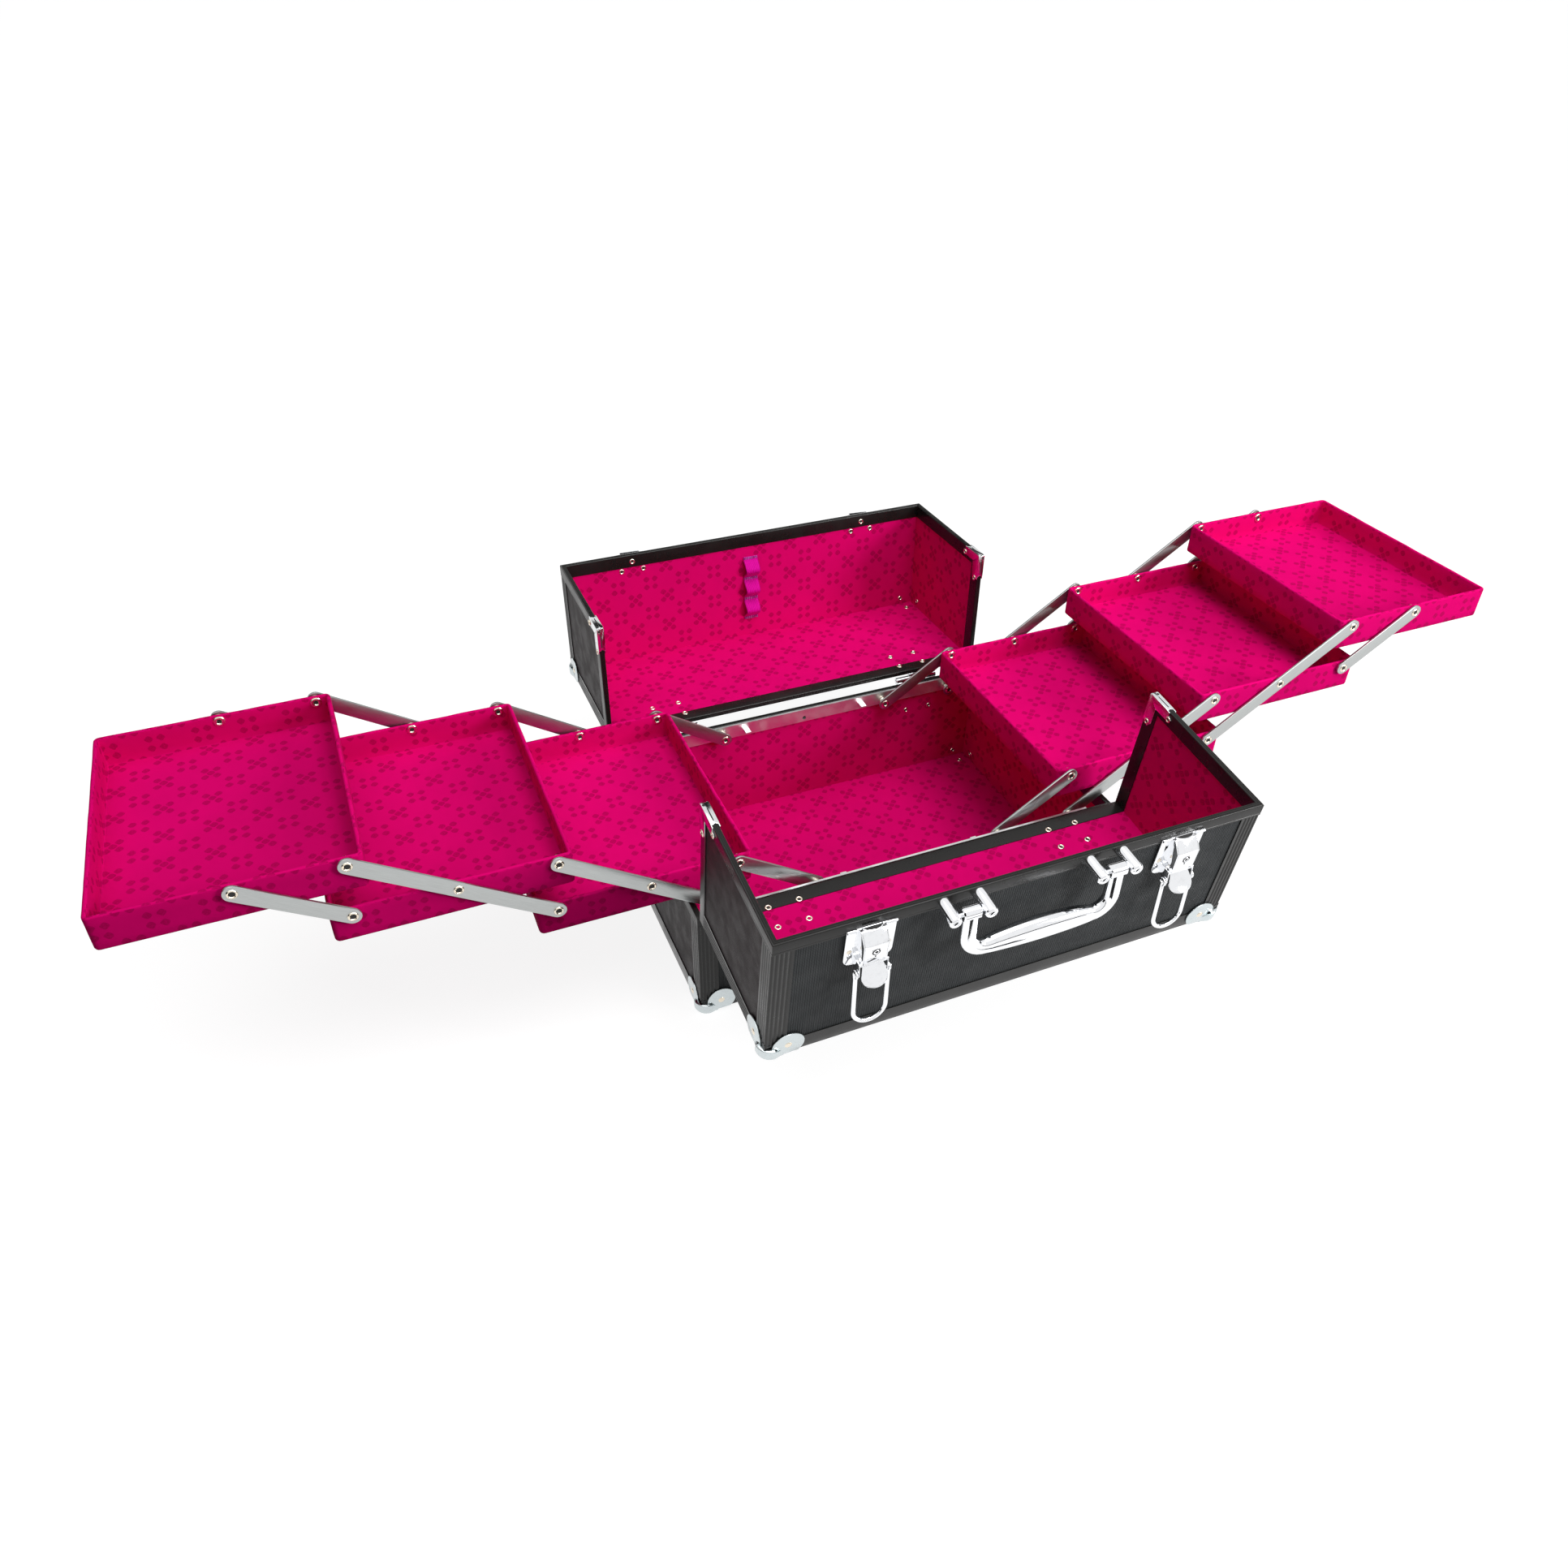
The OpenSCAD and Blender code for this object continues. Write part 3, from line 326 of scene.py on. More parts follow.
cloth = printedCloth("printed cloth", tones["pink"], tones["print"])
elastic = elasticBand("elastic", tones["elastic"])
thread = elasticBand("stitching thread", tones["thread"])
skins = {"base_panels": caseSkin("case skin of the base"),
         "front_panels": caseSkin("case skin of the front cover", -1, case["frontOpen"]),
         "back_panels": caseSkin("case skin of the back cover", 1, case["backOpen"])}
black = anodised("black anodised profile", tones["anodised"], 0.22, 0.36)
chrome = plated("bright chrome", tones["chrome"], 0.045, 0.10)
capMetal = plated("zinc plated cap", tones["cap"], 0.22, 0.36)
clipMetal = plated("clip plate", tones["clip"], 0.12, 0.24)
nickel = plated("nickel rivet", tones["nickel"], 0.14, 0.28)
satin = brushed("satin aluminium", tones["satin"], 0.26, 0.42)
barMetal = plated("bracket bar", tones["bar"], 0.34, 0.48)
hole = paintedShade("painted recess shade", tones["hole"])
print("finishes made")


# mesh tools: everything is drawn in mm in its own frame, and set in metres at the end
toMetres = Matrix.Scale(0.001, 4)
turnToX = Matrix(((0, 0, 1, 0), (1, 0, 0, 0), (0, 1, 0, 0), (0, 0, 0, 1)))   # (u, v, height) to (y, z, x)
swapYZ = Matrix(((1, 0, 0, 0), (0, 0, 1, 0), (0, 1, 0, 0), (0, 0, 0, 1)))


def flip(x=1, y=1, z=1):
    return Matrix.Diagonal((x, y, z, 1))


def shift(x=0, y=0, z=0):
    return Matrix.Translation((x, y, z))


def spin(angle, axis):
    return Matrix.Rotation(radians(angle), 4, axis)


def coverPlace(sy):
    # a cover's own frame: x along the hinge, y from the hinge side to the seam, z from the rim to its top
    angle = case["frontOpen"] if sy < 0 else case["backOpen"]
    return flip(y=-sy) @ shift(0, -d2 - case["pinOut"], topZ) @ spin(angle, "X") @ shift(0, case["pinOut"], 0)


def coverDepth(sy):
    return case["frontDepth"] if sy < 0 else case["d"] - case["frontDepth"]


def topPlace(sy):
    # on a cover's top: x along the case, y away from the seam, z outwards
    return coverPlace(sy) @ shift(0, coverDepth(sy), case["coverH"]) @ flip(y=-1)


def loft(bm, rings, loop=True, endless=False, caps=True):
    rows = [[bm.verts.new(p) for p in ring] for ring in rings]
    count = len(rows[0])
    for a, b in zip(rows, rows[1:] + rows[:1] if endless else rows[1:]):
        for i in range(count if loop else count - 1):
            j = (i + 1) % count
            bm.faces.new((a[i], a[j], b[j], b[i]))
    if caps and loop and not endless:
        bm.faces.new(rows[0][::-1])
        bm.faces.new(rows[-1])
    return rows


def prism(bm, outline, low, high):
    return loft(bm, [[(x, y, h) for x, y in outline] for h in (low, high)])


def block(bm, x0, x1, y0, y1, z0, z1):
    return prism(bm, [(x0, y0), (x1, y0), (x1, y1), (x0, y1)], z0, z1)


def lathe(bm, profile, steps=24):
    # a turned shape from its profile of (radius, height)
    turns = [2 * pi * i / steps for i in range(steps)]
    rows = []
    for r, h in profile:
        if r == 0:
            rows.append([bm.verts.new((0, 0, h))] * steps)
        else:
            rows.append([bm.verts.new((r * cos(a), r * sin(a), h)) for a in turns])
    for a, b in zip(rows, rows[1:]):
        for i in range(steps):
            j = (i + 1) % steps
            corners = list(dict.fromkeys((a[i], a[j], b[j], b[i])))
            if len(corners) > 2:
                bm.faces.new(corners)


def arc(cx, cy, r, start, end, steps):
    return [(cx + r * cos(radians(start + (end - start) * i / steps)),
             cy + r * sin(radians(start + (end - start) * i / steps))) for i in range(steps + 1)]


def roundedBox(x0, x1, y0, y1, r, steps=5):
    return (arc(x1 - r, y1 - r, r, 0, 90, steps) + arc(x0 + r, y1 - r, r, 90, 180, steps)
            + arc(x0 + r, y0 + r, r, 180, 270, steps) + arc(x1 - r, y0 + r, r, 270, 360, steps))


def tube(bm, points, r, steps=12):
    # round wire along points, with frames carried from one point to the next
    points = [Vector(p) for p in points]
    rings, side = [], None
    for i, p in enumerate(points):
        ahead = (points[min(i + 1, len(points) - 1)] - points[max(i - 1, 0)]).normalized()
        if side is None:
            side = ahead.orthogonal().normalized()
        side = (side - ahead * side.dot(ahead)).normalized()
        up = ahead.cross(side)
        turns = [2 * pi * k / steps for k in range(steps)]
        rings.append([p + side * r * cos(a) + up * r * sin(a) for a in turns])
    loft(bm, rings)


def boxUv(bm, offsets=((0, 0), (0, 0), (0, 0))):
    # each face unwrapped along the axis that it looks along, in metres
    layer = bm.loops.layers.uv.verify()
    for face in bm.faces:
        axis = max(range(3), key=lambda k: abs(face.normal[k]))
        a, b = ((1, 2), (0, 2), (0, 1))[axis]
        du, dv = offsets[axis]
        for corner in face.loops:
            corner[layer].uv = (corner.vert.co[a] / 1000 + du, corner.vert.co[b] / 1000 + dv)


def faceUp(bm, up=1):
    # turns an open sheet over if it looks the wrong way
    bm.normal_update()
    if up * sum(f.normal.z for f in bm.faces) < 0:
        bmesh.ops.reverse_faces(bm, faces=bm.faces)
        bm.normal_update()


class Build:
    # gathers parts, each bevelled and unwrapped in its own frame, into one mesh
    def __init__(self):
        self.bm = bmesh.new()
        self.bm.loops.layers.uv.verify()

    def add(self, part, place=Matrix(), bevel=0, finish=0, angle=28, unwrapped=False):
        if not unwrapped:
            bmesh.ops.recalc_face_normals(part, faces=part.faces)
        if bevel:
            sharp = radians(angle)
            edges = [e for e in part.edges if len(e.link_faces) == 2 and e.calc_face_angle(0) > sharp]
            bmesh.ops.bevel(part, geom=edges, offset=bevel, segments=2, profile=0.5, affect="EDGES",
                            clamp_overlap=True)
        part.normal_update()
        if not unwrapped:
            boxUv(part)
        for face in part.faces:
            face.material_index = finish
        part.transform(place)
        if place.to_3x3().determinant() < 0:
            bmesh.ops.reverse_faces(part, faces=part.faces)
        held = bpy.data.meshes.new("held")
        part.to_mesh(held)
        self.bm.from_mesh(held)
        bpy.data.meshes.remove(held)
        part.free()

    def done(self, name, finishes, body, node, slot, place=Matrix(), smooth=40):
        # the finished piece: it rides on its body and stands for its solid, which it hides
        mesh = bpy.data.meshes.new(name)
        whole = toMetres @ place
        self.bm.transform(whole)
        if whole.to_3x3().determinant() < 0:
            bmesh.ops.reverse_faces(self.bm, faces=self.bm.faces)
        self.bm.to_mesh(mesh)
        self.bm.free()
        mesh.polygons.foreach_set("use_smooth", [True] * len(mesh.polygons))
        mesh.set_sharp_from_angle(angle=radians(smooth))
        for finish in finishes:
            mesh.materials.append(finish)
        piece = linked(name, mesh)
        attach(piece, body)
        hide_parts(node)
        return piece


def drawn(shape, *args, **keys):
    bm = bmesh.new()
    shape(bm, *args, **keys)
    return bm


def paint(node, finish):
    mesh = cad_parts[node].data
    mesh.materials.clear()
    mesh.materials.append(finish)
    for face in mesh.polygons:
        face.material_index = 0


# small fasteners, drawn with their seat at z = 0 and their head towards +z
# an eyelet is its radius, bore and height; a piece's finishes are its metal, its rivets and the painted shade
# of its holes and recesses
rivetSet = {"lining": (2.75, 1.25, 0.6), "clip": (2.6, 1.2, 0.55), "armHead": (3.7, 2.1, 0.8),
            "armBase": (3.9, 1.7, 0.6), "armTray": (4.3, 1.7, 0.7)}
metals = {"plain": [chrome], "latch": [chrome, nickel, hole], "cap": [capMetal, nickel, hole],
          "clip": [clipMetal, nickel, hole], "arm": [satin, nickel, hole], "post": [chrome, hole]}


def addEyelet(build, place, kind="lining"):
    r, bore, proud = rivetSet[kind]
    wide = r - bore
    head = [(0, 0.04), (bore * 0.97, 0.04), (bore, proud * 0.2), (bore + wide * 0.25, proud * 0.85),
            (bore + wide * 0.5, proud), (bore + wide * 0.82, proud * 0.72), (r, proud * 0.15), (r, -0.1)]
    build.add(drawn(lathe, head[1:], 20), place, finish=1)
    # the bore's floor is a near-black disc, painted shade that makes the eyelet look hollow
    build.add(drawn(lathe, head[:2], 20), place, finish=2)


def addDome(build, place, r):
    build.add(drawn(lathe, [(0, 0.75), (r * 0.35, 0.7), (r * 0.7, 0.5), (r * 0.92, 0.2), (r, -0.05)], 20),
              place, finish=1)


# corner caps: the profiles under them follow these sizes too
capSet = {"t": 1.2, "ball": 7, "bulge": 2.2, "ease": 6, "fold": 14, "bandTop": 9.2, "bandR": 4.4,
          "lidRise": 0.9, "foldR": 2.2, "earR": 11.8, "earAlong": 17, "earUp": 10.4, "earUnder": 14,
          "sheet": 1.1, "domeR": 2.7}

# profiles: section points are (into the wall, away from the edge)
rimSet = {"outer": 10, "inner": 12.5, "round": 0.95, "line": 0.24, "lines": (1.5, 3.0), "lip": 1.5}


def rimSection(s):
    w, t, k, r = inner, case["web"], case["skin"], s["round"]
    lip = s["outer"] - s["lip"]
    pts = [(0, s["outer"]), (0, lip + 0.15), (0.16, lip), (0.16, lip - 0.3), (0, lip - 0.45)]
    pts += arc(r, r, r, 180, 270, 4)
    for g in s["lines"]:
        pts += [(g - 0.2, 0), (g - 0.12, s["line"]), (g + 0.12, s["line"]), (g + 0.2, 0)]
    pts += arc(w - r, r, r, 270, 360, 4)
    pts += [(w, s["inner"] - 0.2), (w - 0.2, s["inner"]), (w - t, s["inner"])]
    return pts + [(w - t, t), (k, t), (k, s["outer"])]


def sweep(bm, section, corners, closed=True):
    # corners are (point, into the wall, away from the edge); at a mitre the two walls' vectors are summed
    rings = [[Vector(c) + Vector(a) * u + Vector(b) * v for u, v in section] for c, a, b in corners]
    loft(bm, rings, endless=closed)


def lSection(width, ridges=1, depth=0.45, edge=1.4):
    # angle profile with a rounded edge, with grooves between its ridges
    t, p = case["skin"], width / ridges
    shape = ((0.42, 0), (0.24, 0.25), (0.07, 1), (-0.07, 1), (-0.24, 0.25), (-0.42, 0))
    leg = [(p * i + p * a, depth * b) for i in range(ridges - 1, 0, -1) for a, b in shape]
    leg = leg or [(capSet["ease"], 0)]
    up = [(0, width)] + [(d, g) for g, d in leg]
    return up + arc(edge, edge, edge, 180, 270, 4) + leg[::-1] + [(width, 0), (width, t), (t, t), (t, width)]


def rectPath(z, along):
    # round the base, with plain sections beside each corner, where the cap's band and its folds end
    path, up = [], (0, 0, along)
    for sx, sy, turn in ((-1, -1, 0), (1, -1, 1), (1, 1, 0), (-1, 1, 1)):
        alongX = [((sx * (w2 - k), sy * d2, z), (0, -sy, 0), up) for k in (capSet["ease"], capSet["fold"])]
        alongY = [((sx * w2, sy * (d2 - k), z), (-sx, 0, 0), up) for k in (capSet["ease"], capSet["fold"])]
        corner = ((sx * w2, sy * d2, z), (-sx, -sy, 0), up)
        path += alongX[::-1] + [corner] + alongY if turn else alongY[::-1] + [corner] + alongX
    return path


def easeCorner(bm, corner, inwards):
    # keeps what lies under a cap inside its rounded corner and its narrowing folds
    b, end, tight = capSet["ease"], capSet["fold"], 1.4
    for v in bm.verts:
        q = Vector((v.co[i] - corner[i]) * inwards[i] for i in range(3))
        far = [i for i in range(3) if q[i] > b - 0.01]
        if len(far) > 1 or (far and q[far[0]] > end - 0.01):
            continue
        r = tight + (b - tight) * (end - q[far[0]]) / (end - b) if far else b
        centre = Vector(q[i] if i in far else r for i in range(3))
        d = q - centre
        if all(q[i] < r for i in range(3) if i not in far) and d.length > r - 0.2:
            q = centre + d * (r - 0.2) / d.length
            v.co = Vector(corner[i] + q[i] * inwards[i] for i in range(3))


frames = Build()
frames.add(drawn(sweep, rimSection(rimSet), rectPath(topZ, -1)))
edges = drawn(sweep, lSection(case["edgeW"]), rectPath(case["foot"], 1))
corners = [(sx, sy) for sx in (-1, 1) for sy in (-1, 1)]
for sx, sy in corners:
    easeCorner(edges, (sx * w2, sy * d2, case["foot"]), (-sx, -sy, 1))
frames.add(edges)
upright = lSection(case["cornerW"], ridges=5)
for sx, sy in corners:
    heights = (case["foot"] + case["edgeW"], topZ - rimSet["outer"])
    path = [((sx * w2, sy * d2, z), (-sx, 0, 0), (0, -sy, 0)) for z in heights]
    frames.add(drawn(sweep, upright, path, closed=False))
frames.done("base_profiles", [black], "base", "base_frame", "profile")


def coverFrame(sy, side):
    depth, h = coverDepth(sy), case["coverH"]
    f = Build()
    path = [((-w2, 0, 0), (1, 1, 0), (0, 0, 1)), ((w2, 0, 0), (-1, 1, 0), (0, 0, 1)),
            ((w2, depth, 0), (-1, 0, 0), (0, -1, 1)), ((w2, depth, h), (-1, 0, -1), (0, -1, 0)),
            ((-w2, depth, h), (1, 0, -1), (0, -1, 0)), ((-w2, depth, 0), (1, 0, 0), (0, -1, 1))]
    f.add(drawn(sweep, rimSection(rimSet), path))
    e, c, o = case["edgeW"], case["cornerW"], rimSet["outer"]
    b = capSet["ease"]
    stations = (-w2, b - w2, capSet["fold"] - w2, w2 - capSet["fold"], w2 - b, w2)
    edge = drawn(sweep, lSection(e), [((x, 0, h), (0, 1, 0), (0, 0, -1)) for x in stations], closed=False)
    for sx in (-1, 1):
        easeCorner(edge, (sx * w2, 0, h), (-sx, 1, -1))
    f.add(edge)
    for sx in (-1, 1):
        hingeEdge = [((sx * w2, 0, z), (-sx, 0, 0), (0, 1, 0)) for z in (o, h - e)]
        topEdge = [((sx * w2, y, h), (-sx, 0, 0), (0, 0, -1)) for y in (e, depth - o)]
        for path in (hingeEdge, topEdge):
            f.add(drawn(sweep, upright, path, closed=False))
        x0, x1 = sorted((sx * (w2 - 0.02), sx * (w2 - case["skin"])))
        plate = [(b, h - 0.05), (c, h - 0.05), (c, h - c), (0.05, h - c), (0.05, h - b)]
        f.add(drawn(prism, plate, x0, x1), turnToX)
    f.done(side + "_profiles", [black], side + "_cover", side + "_frame", "profile", coverPlace(sy))


for sy, side in sides:
    coverFrame(sy, side)
for node, finish in skins.items():
    paint(node, finish)
print("profiles and panels done")


# linings: sheets of cloth on each inner face, flat at their edges and a little uneven between
liningSet = {"cell": 9, "lift": 0.28, "grain": 0.022, "edge": 16}


def sheet(bm, origin, along, up, normal, seed, s=liningSet):
    origin, along, up, normal = Vector(origin), Vector(along), Vector(up), Vector(normal)
    if along.cross(up).dot(normal) < 0:   # turned so that its face looks along normal
        origin, along = origin + along, -along
    nu, nv = max(2, round(along.length / s["cell"])), max(2, round(up.length / s["cell"]))
    layer = bm.loops.layers.uv.verify()
    grid = {}
    for i in range(nu + 1):
        for j in range(nv + 1):
            u, v = i / nu, j / nv
            rim = min(u * along.length, (1 - u) * along.length, v * up.length, (1 - v) * up.length)
            p = origin + along * u + up * v
            bow = min(1, rim / s["edge"]) * s["lift"]
            grid[i, j] = bm.verts.new(p + normal * bow * noise.noise(p * s["grain"] + Vector((seed, 0, 0))))
    for i in range(nu):
        for j in range(nv):
            face = bm.faces.new((grid[i, j], grid[i + 1, j], grid[i + 1, j + 1], grid[i, j + 1]))
            for corner, (a, b) in zip(face.loops, ((i, j), (i + 1, j), (i + 1, j + 1), (i, j + 1))):
                u, v = a / nu * along.length / 1000, b / nv * up.length / 1000
                corner[layer].uv = (u + seed * 0.37, v + seed * 0.21)


def liningOf(part, body, sheets, place=Matrix()):
    build = Build()
    for seed, (origin, along, up, normal) in enumerate(sheets):
        build.add(drawn(sheet, origin, along, up, normal, seed), unwrapped=True)
    build.done(part + "_cloth", [cloth], body, part + "_lining", "lining", place, smooth=60)


wi, di = w2 - case["wall"], d2 - case["wall"]
floorZ = case["foot"] + case["wall"]
acrossX, acrossY, upZ = (2 * wi, 0, 0), (0, 2 * di, 0), (0, 0, topZ - case["web"] - floorZ)
liningOf("base", "base", [
    ((-wi, -di, floorZ), acrossX, acrossY, (0, 0, 1)),
    ((-wi, -di, floorZ), acrossX, upZ, (0, 1, 0)),
    ((-wi, di, floorZ), acrossX, upZ, (0, -1, 0)),
    ((-wi, -di, floorZ), acrossY, upZ, (1, 0, 0)),
    ((wi, -di, floorZ), acrossY, upZ, (-1, 0, 0))])
for sy, side in sides:
    t, lip = case["wall"], case["web"]
    acrossY, upZ = (0, coverDepth(sy) - t - lip, 0), (0, 0, case["coverH"] - t - lip)
    liningOf(side, side + "_cover", [
        ((-wi, t, lip), acrossX, upZ, (0, 1, 0)),
        ((-wi, t, lip + upZ[2]), acrossX, acrossY, (0, 0, -1)),
        ((-wi, t, lip), acrossY, upZ, (1, 0, 0)),
        ((wi, t, lip), acrossY, upZ, (-1, 0, 0))], coverPlace(sy))
print("linings done")


# trays: cloth drawn over a stiff board, with soft rims and corners
noise.seed_set(4)   # without a seed, noise_vector starts from the clock
traySet = {"w": 164, "d": 203, "h": 27, "wall": 3.0, "floor": 3.0, "corner": 4, "pivotDrop": 5, "pivotIn": 11,
           "step": 69, "cell": 7, "wrinkle": 0.22}
armSet = {"step": 77, "width": 12, "thick": 2, "gap": 1.4, "angle": 33, "fixedX": 81, "fixedDrop": 9.5,
          "washerH": 5.0, "washerR": 3.9}
reach, rise = armSet["step"] * cos(radians(armSet["angle"])), armSet["step"] * sin(radians(armSet["angle"]))
fixedZ = topZ - armSet["fixedDrop"]


def trayX(i):
    return armSet["fixedX"] + reach - traySet["pivotIn"] + (i - 1) * (reach + traySet["step"])


def trayTop(i):
    return fixedZ + traySet["pivotDrop"] + i * rise


def softRect(x0, x1, y0, y1, r):
    # rounded rectangle with its sides cut into short pieces
    pts = []
    turns = ((x1 - r, y1 - r, 0), (x0 + r, y1 - r, 90), (x0 + r, y0 + r, 180), (x1 - r, y0 + r, 270))
    for k, (cx, cy, start) in enumerate(turns):
        pts += arc(cx, cy, r, start, start + 90, 4)
        nx, ny, ns = turns[(k + 1) % 4]
        a, b = Vector(pts[-1]), Vector(arc(nx, ny, r, ns, ns, 1)[0])
        n = round(traySet["d" if k % 2 else "w"] / traySet["cell"])
        pts += [tuple(a.lerp(b, j / n)) for j in range(1, n)]
    return pts


def traySteps(s, z0, z1):
    # section of a wall, from under the floor up the outside, over the rim and down the inside
    t, floorTop = s["wall"], z0 + s["floor"]
    steps = [(3.2, z0 + 0.05), (1.4, z0), (0.42, z0 + 0.42), (0, z0 + 1.4)]
    steps += [(0, z0 + 1.4 + (s["h"] - 3) * k / 4) for k in (1, 2, 3)]
    steps += [(0, z1 - 1.5), (0.2, z1 - 0.7), (0.75, z1 - 0.16), (t / 2, z1), (t - 0.75, z1 - 0.16)]
    steps += [(t - 0.2, z1 - 0.7), (t, z1 - 1.5)]
    steps += [(t, z1 - 1.5 - (s["h"] - 6.5) * k / 4) for k in (1, 2, 3)]
    return steps + [(t, floorTop + 1.0), (t + 0.3, floorTop + 0.3), (t + 1.0, floorTop)]


def trayShell(i, seed, s=traySet):
    bm = bmesh.new()
    x0, x1, y = trayX(i), trayX(i) + s["w"], s["d"] / 2
    z1, z0 = trayTop(i), trayTop(i) - s["h"]
    rings = []
    for off, z in traySteps(s, z0, z1):
        ring = []
        for px, py in softRect(x0 + off, x1 - off, -y + off, y - off, max(s["corner"] - off, 0.8)):
            p = Vector((px, py, z))
            n = noise.noise_vector(p * 0.055 + Vector((seed * 9.1, 0, 0)))
            n += 0.6 * noise.noise_vector(p * 0.19)
            ring.append(p + n * s["wrinkle"] * (1 if z > z0 + 2 else 0.3))   # flatter under the floor
        rings.append(ring)
    loft(bm, rings)
    bmesh.ops.recalc_face_normals(bm, faces=bm.faces)
    bm.normal_update()
    boxUv(bm, [(axis * 0.113 + seed * 0.071, s["h"] / 3000 * axis + seed * 0.053) for axis in range(3)])
    return bm


for sx, side in ends:
    for i in (1, 2, 3):
        shell = Build()
        shell.add(trayShell(i, i + (3 if sx < 0 else 0)), flip(sx), unwrapped=True)
        node = "tray_%s%d" % (side, i)
        shell.done(node + "_cloth", [cloth], node, node, "tray", smooth=50)
print("trays done")


# arms: satin strips with hollow rivets
def stadium(length, width, steps=10):
    r = width / 2
    return arc(length, 0, r, -90, 90, steps) + arc(0, 0, r, 90, 270, steps)


def armPair(side, sx, k, x, z, n, fixed):
    # two strips, front and back, n steps long; a fixed pair turns on washers by the case's wall
    a, build = armSet, Build()
    trayY = traySet["d"] / 2
    armY = trayY + a["gap"]
    r, h = a["washerR"], a["washerH"]
    washer = [(2.0, 0), (r - 0.3, 0), (r, 0.4), (r, h - 0.8), (r - 0.7, h), (2.0, h)]
    spacer = [(2.6, 0), (r, 0.05), (r, a["gap"] - 0.05), (2.6, a["gap"])]
    outwards, inwards = spin(-90, "X"), spin(90, "X")
    for sy in (-1, 1):
        out = flip(sx, sy)
        strip = drawn(prism, stadium(a["step"] * n, a["width"]), -a["thick"], 0)
        build.add(strip, out @ shift(x, armY, z) @ spin(-a["angle"], "Y") @ inwards, bevel=0.4, angle=50)
        for m in range(n + 1):
            at = lambda y: out @ shift(x + m * reach, y, z + m * rise)
            addEyelet(build, at(armY + a["thick"]) @ outwards, "armHead")
            if fixed and m == 0:
                build.add(drawn(lathe, washer, 24), at(armY + a["thick"]) @ outwards, finish=1)
                addEyelet(build, at(armY) @ inwards, "armBase")
            else:
                build.add(drawn(lathe, spacer, 24), at(trayY) @ outwards, finish=1)
                addEyelet(build, at(trayY - traySet["wall"] - 0.15) @ inwards, "armTray")
    node = "arm_%s%d" % (side, k)
    build.done(node + "_strips", metals["arm"], node, node, "arm")


def pivot(i):
    return trayX(i) + traySet["pivotIn"] + 2 * traySet["step"], trayTop(i) - traySet["pivotDrop"]


for sx, side in ends:
    armPair(side, sx, 1, armSet["fixedX"] + traySet["step"], fixedZ, 2, True)
    armPair(side, sx, 2, *pivot(1), 2, False)
    armPair(side, sx, 3, *pivot(2), 1, False)
    armPair(side, sx, 4, armSet["fixedX"], fixedZ, 1, True)
for node in ("bar_front", "bar_back"):
    paint(node, barMetal)
print("arms done")


# corner caps, drawn with the case's corner at the origin: a proud band with a lid, and three flat round ears
def capSurface(bm, s=capSet, steps=5, cuts=6):
    t, b = s["t"], s["ball"]
    quarter = [radians(90 * i / steps) for i in range(steps + 1)]

    def section(k):
        # from the band's upper edge down and round to the bottom
        near = 0.5 + 0.5 * cos(pi * min(1, k * 1.25))
        out, r = t + s["bulge"] * near, s["foldR"] + (s["bandR"] - s["foldR"]) * near
        upper = 1.4 + (s["bandTop"] - 1.4) * (1 - k) ** 0.4
        return [(-out, upper)] + [(-out + r - r * cos(a), -t + r - r * sin(a)) for a in quarter]
    share = [k / cuts for k in range(cuts + 1)]
    xs = [b + (s["fold"] - b) * k for k in share]
    stripX = [[(x, p, q) for p, q in section(k)] for x, k in zip(xs, share)]
    stripY = [[(p, x, q) for p, q in section(k)] for x, k in zip(xs, share)]
    band, lid = [], []
    for j in range(9):
        c, d = cos(radians(90 * j / 8)), sin(radians(90 * j / 8))
        band.append([(b - (b - p) * c, b - (b - p) * d, q) for p, q in section(0)])
        far, near = b - band[0][0][0], b / max(c, d)
        row = []
        for f in map(radians, (0, 30, 60, 90)):
            r = far + (near - far) * (1 - cos(f))
            row.append((b - r * c, b - r * d, s["bandTop"] + s["lidRise"] * sin(f)))
        lid.append(row)
    vert = {}

    def at(p):
        # one vertex for each place, so that the strips join
        key = tuple(round(c, 3) for c in p)
        if key not in vert:
            vert[key] = bm.verts.new(p)
        return vert[key]

    for rows in (stripX, stripY, band, lid):
        for r0, r1 in zip(rows, rows[1:]):
            for i in range(len(r0) - 1):
                bm.faces.new((at(r0[i]), at(r0[i + 1]), at(r1[i + 1]), at(r1[i])))
    under = [row[-1][:2] for row in stripX]
    under += arc(s["earUnder"], s["earUnder"], s["earR"], -62, 152, 20)
    under += [row[-1][:2] for row in reversed(stripY)] + [row[-1][:2] for row in band[1:-1]]
    bm.faces.new([at((x, y, -t)) for x, y in under])
    bmesh.ops.recalc_face_normals(bm, faces=bm.faces)
    bm.normal_update()
    if sum((f.calc_center_median() - Vector((b, b, b))).dot(f.normal) * f.calc_area() for f in bm.faces) < 0:
        bmesh.ops.reverse_faces(bm, faces=bm.faces)
    bm.normal_update()
    thickness(bm, s["sheet"])


def thickness(bm, t):
    # gives a sheet its thickness, to the back of its normals
    edge = [e for e in bm.edges if e.is_boundary]
    normals = {v: v.normal.copy() for v in bm.verts}
    faces = list(bm.faces)
    back = {v: bm.verts.new(v.co - n * t * shellFactor(v)) for v, n in normals.items()}
    for e in edge:
        a, b = e.verts
        if e.link_loops[0].vert is a:
            a, b = b, a
        bm.faces.new((a, b, back[b], back[a]))
    for f in faces:
        bm.faces.new([back[v] for v in reversed(f.verts[:])])
    bmesh.ops.recalc_face_normals(bm, faces=bm.faces)


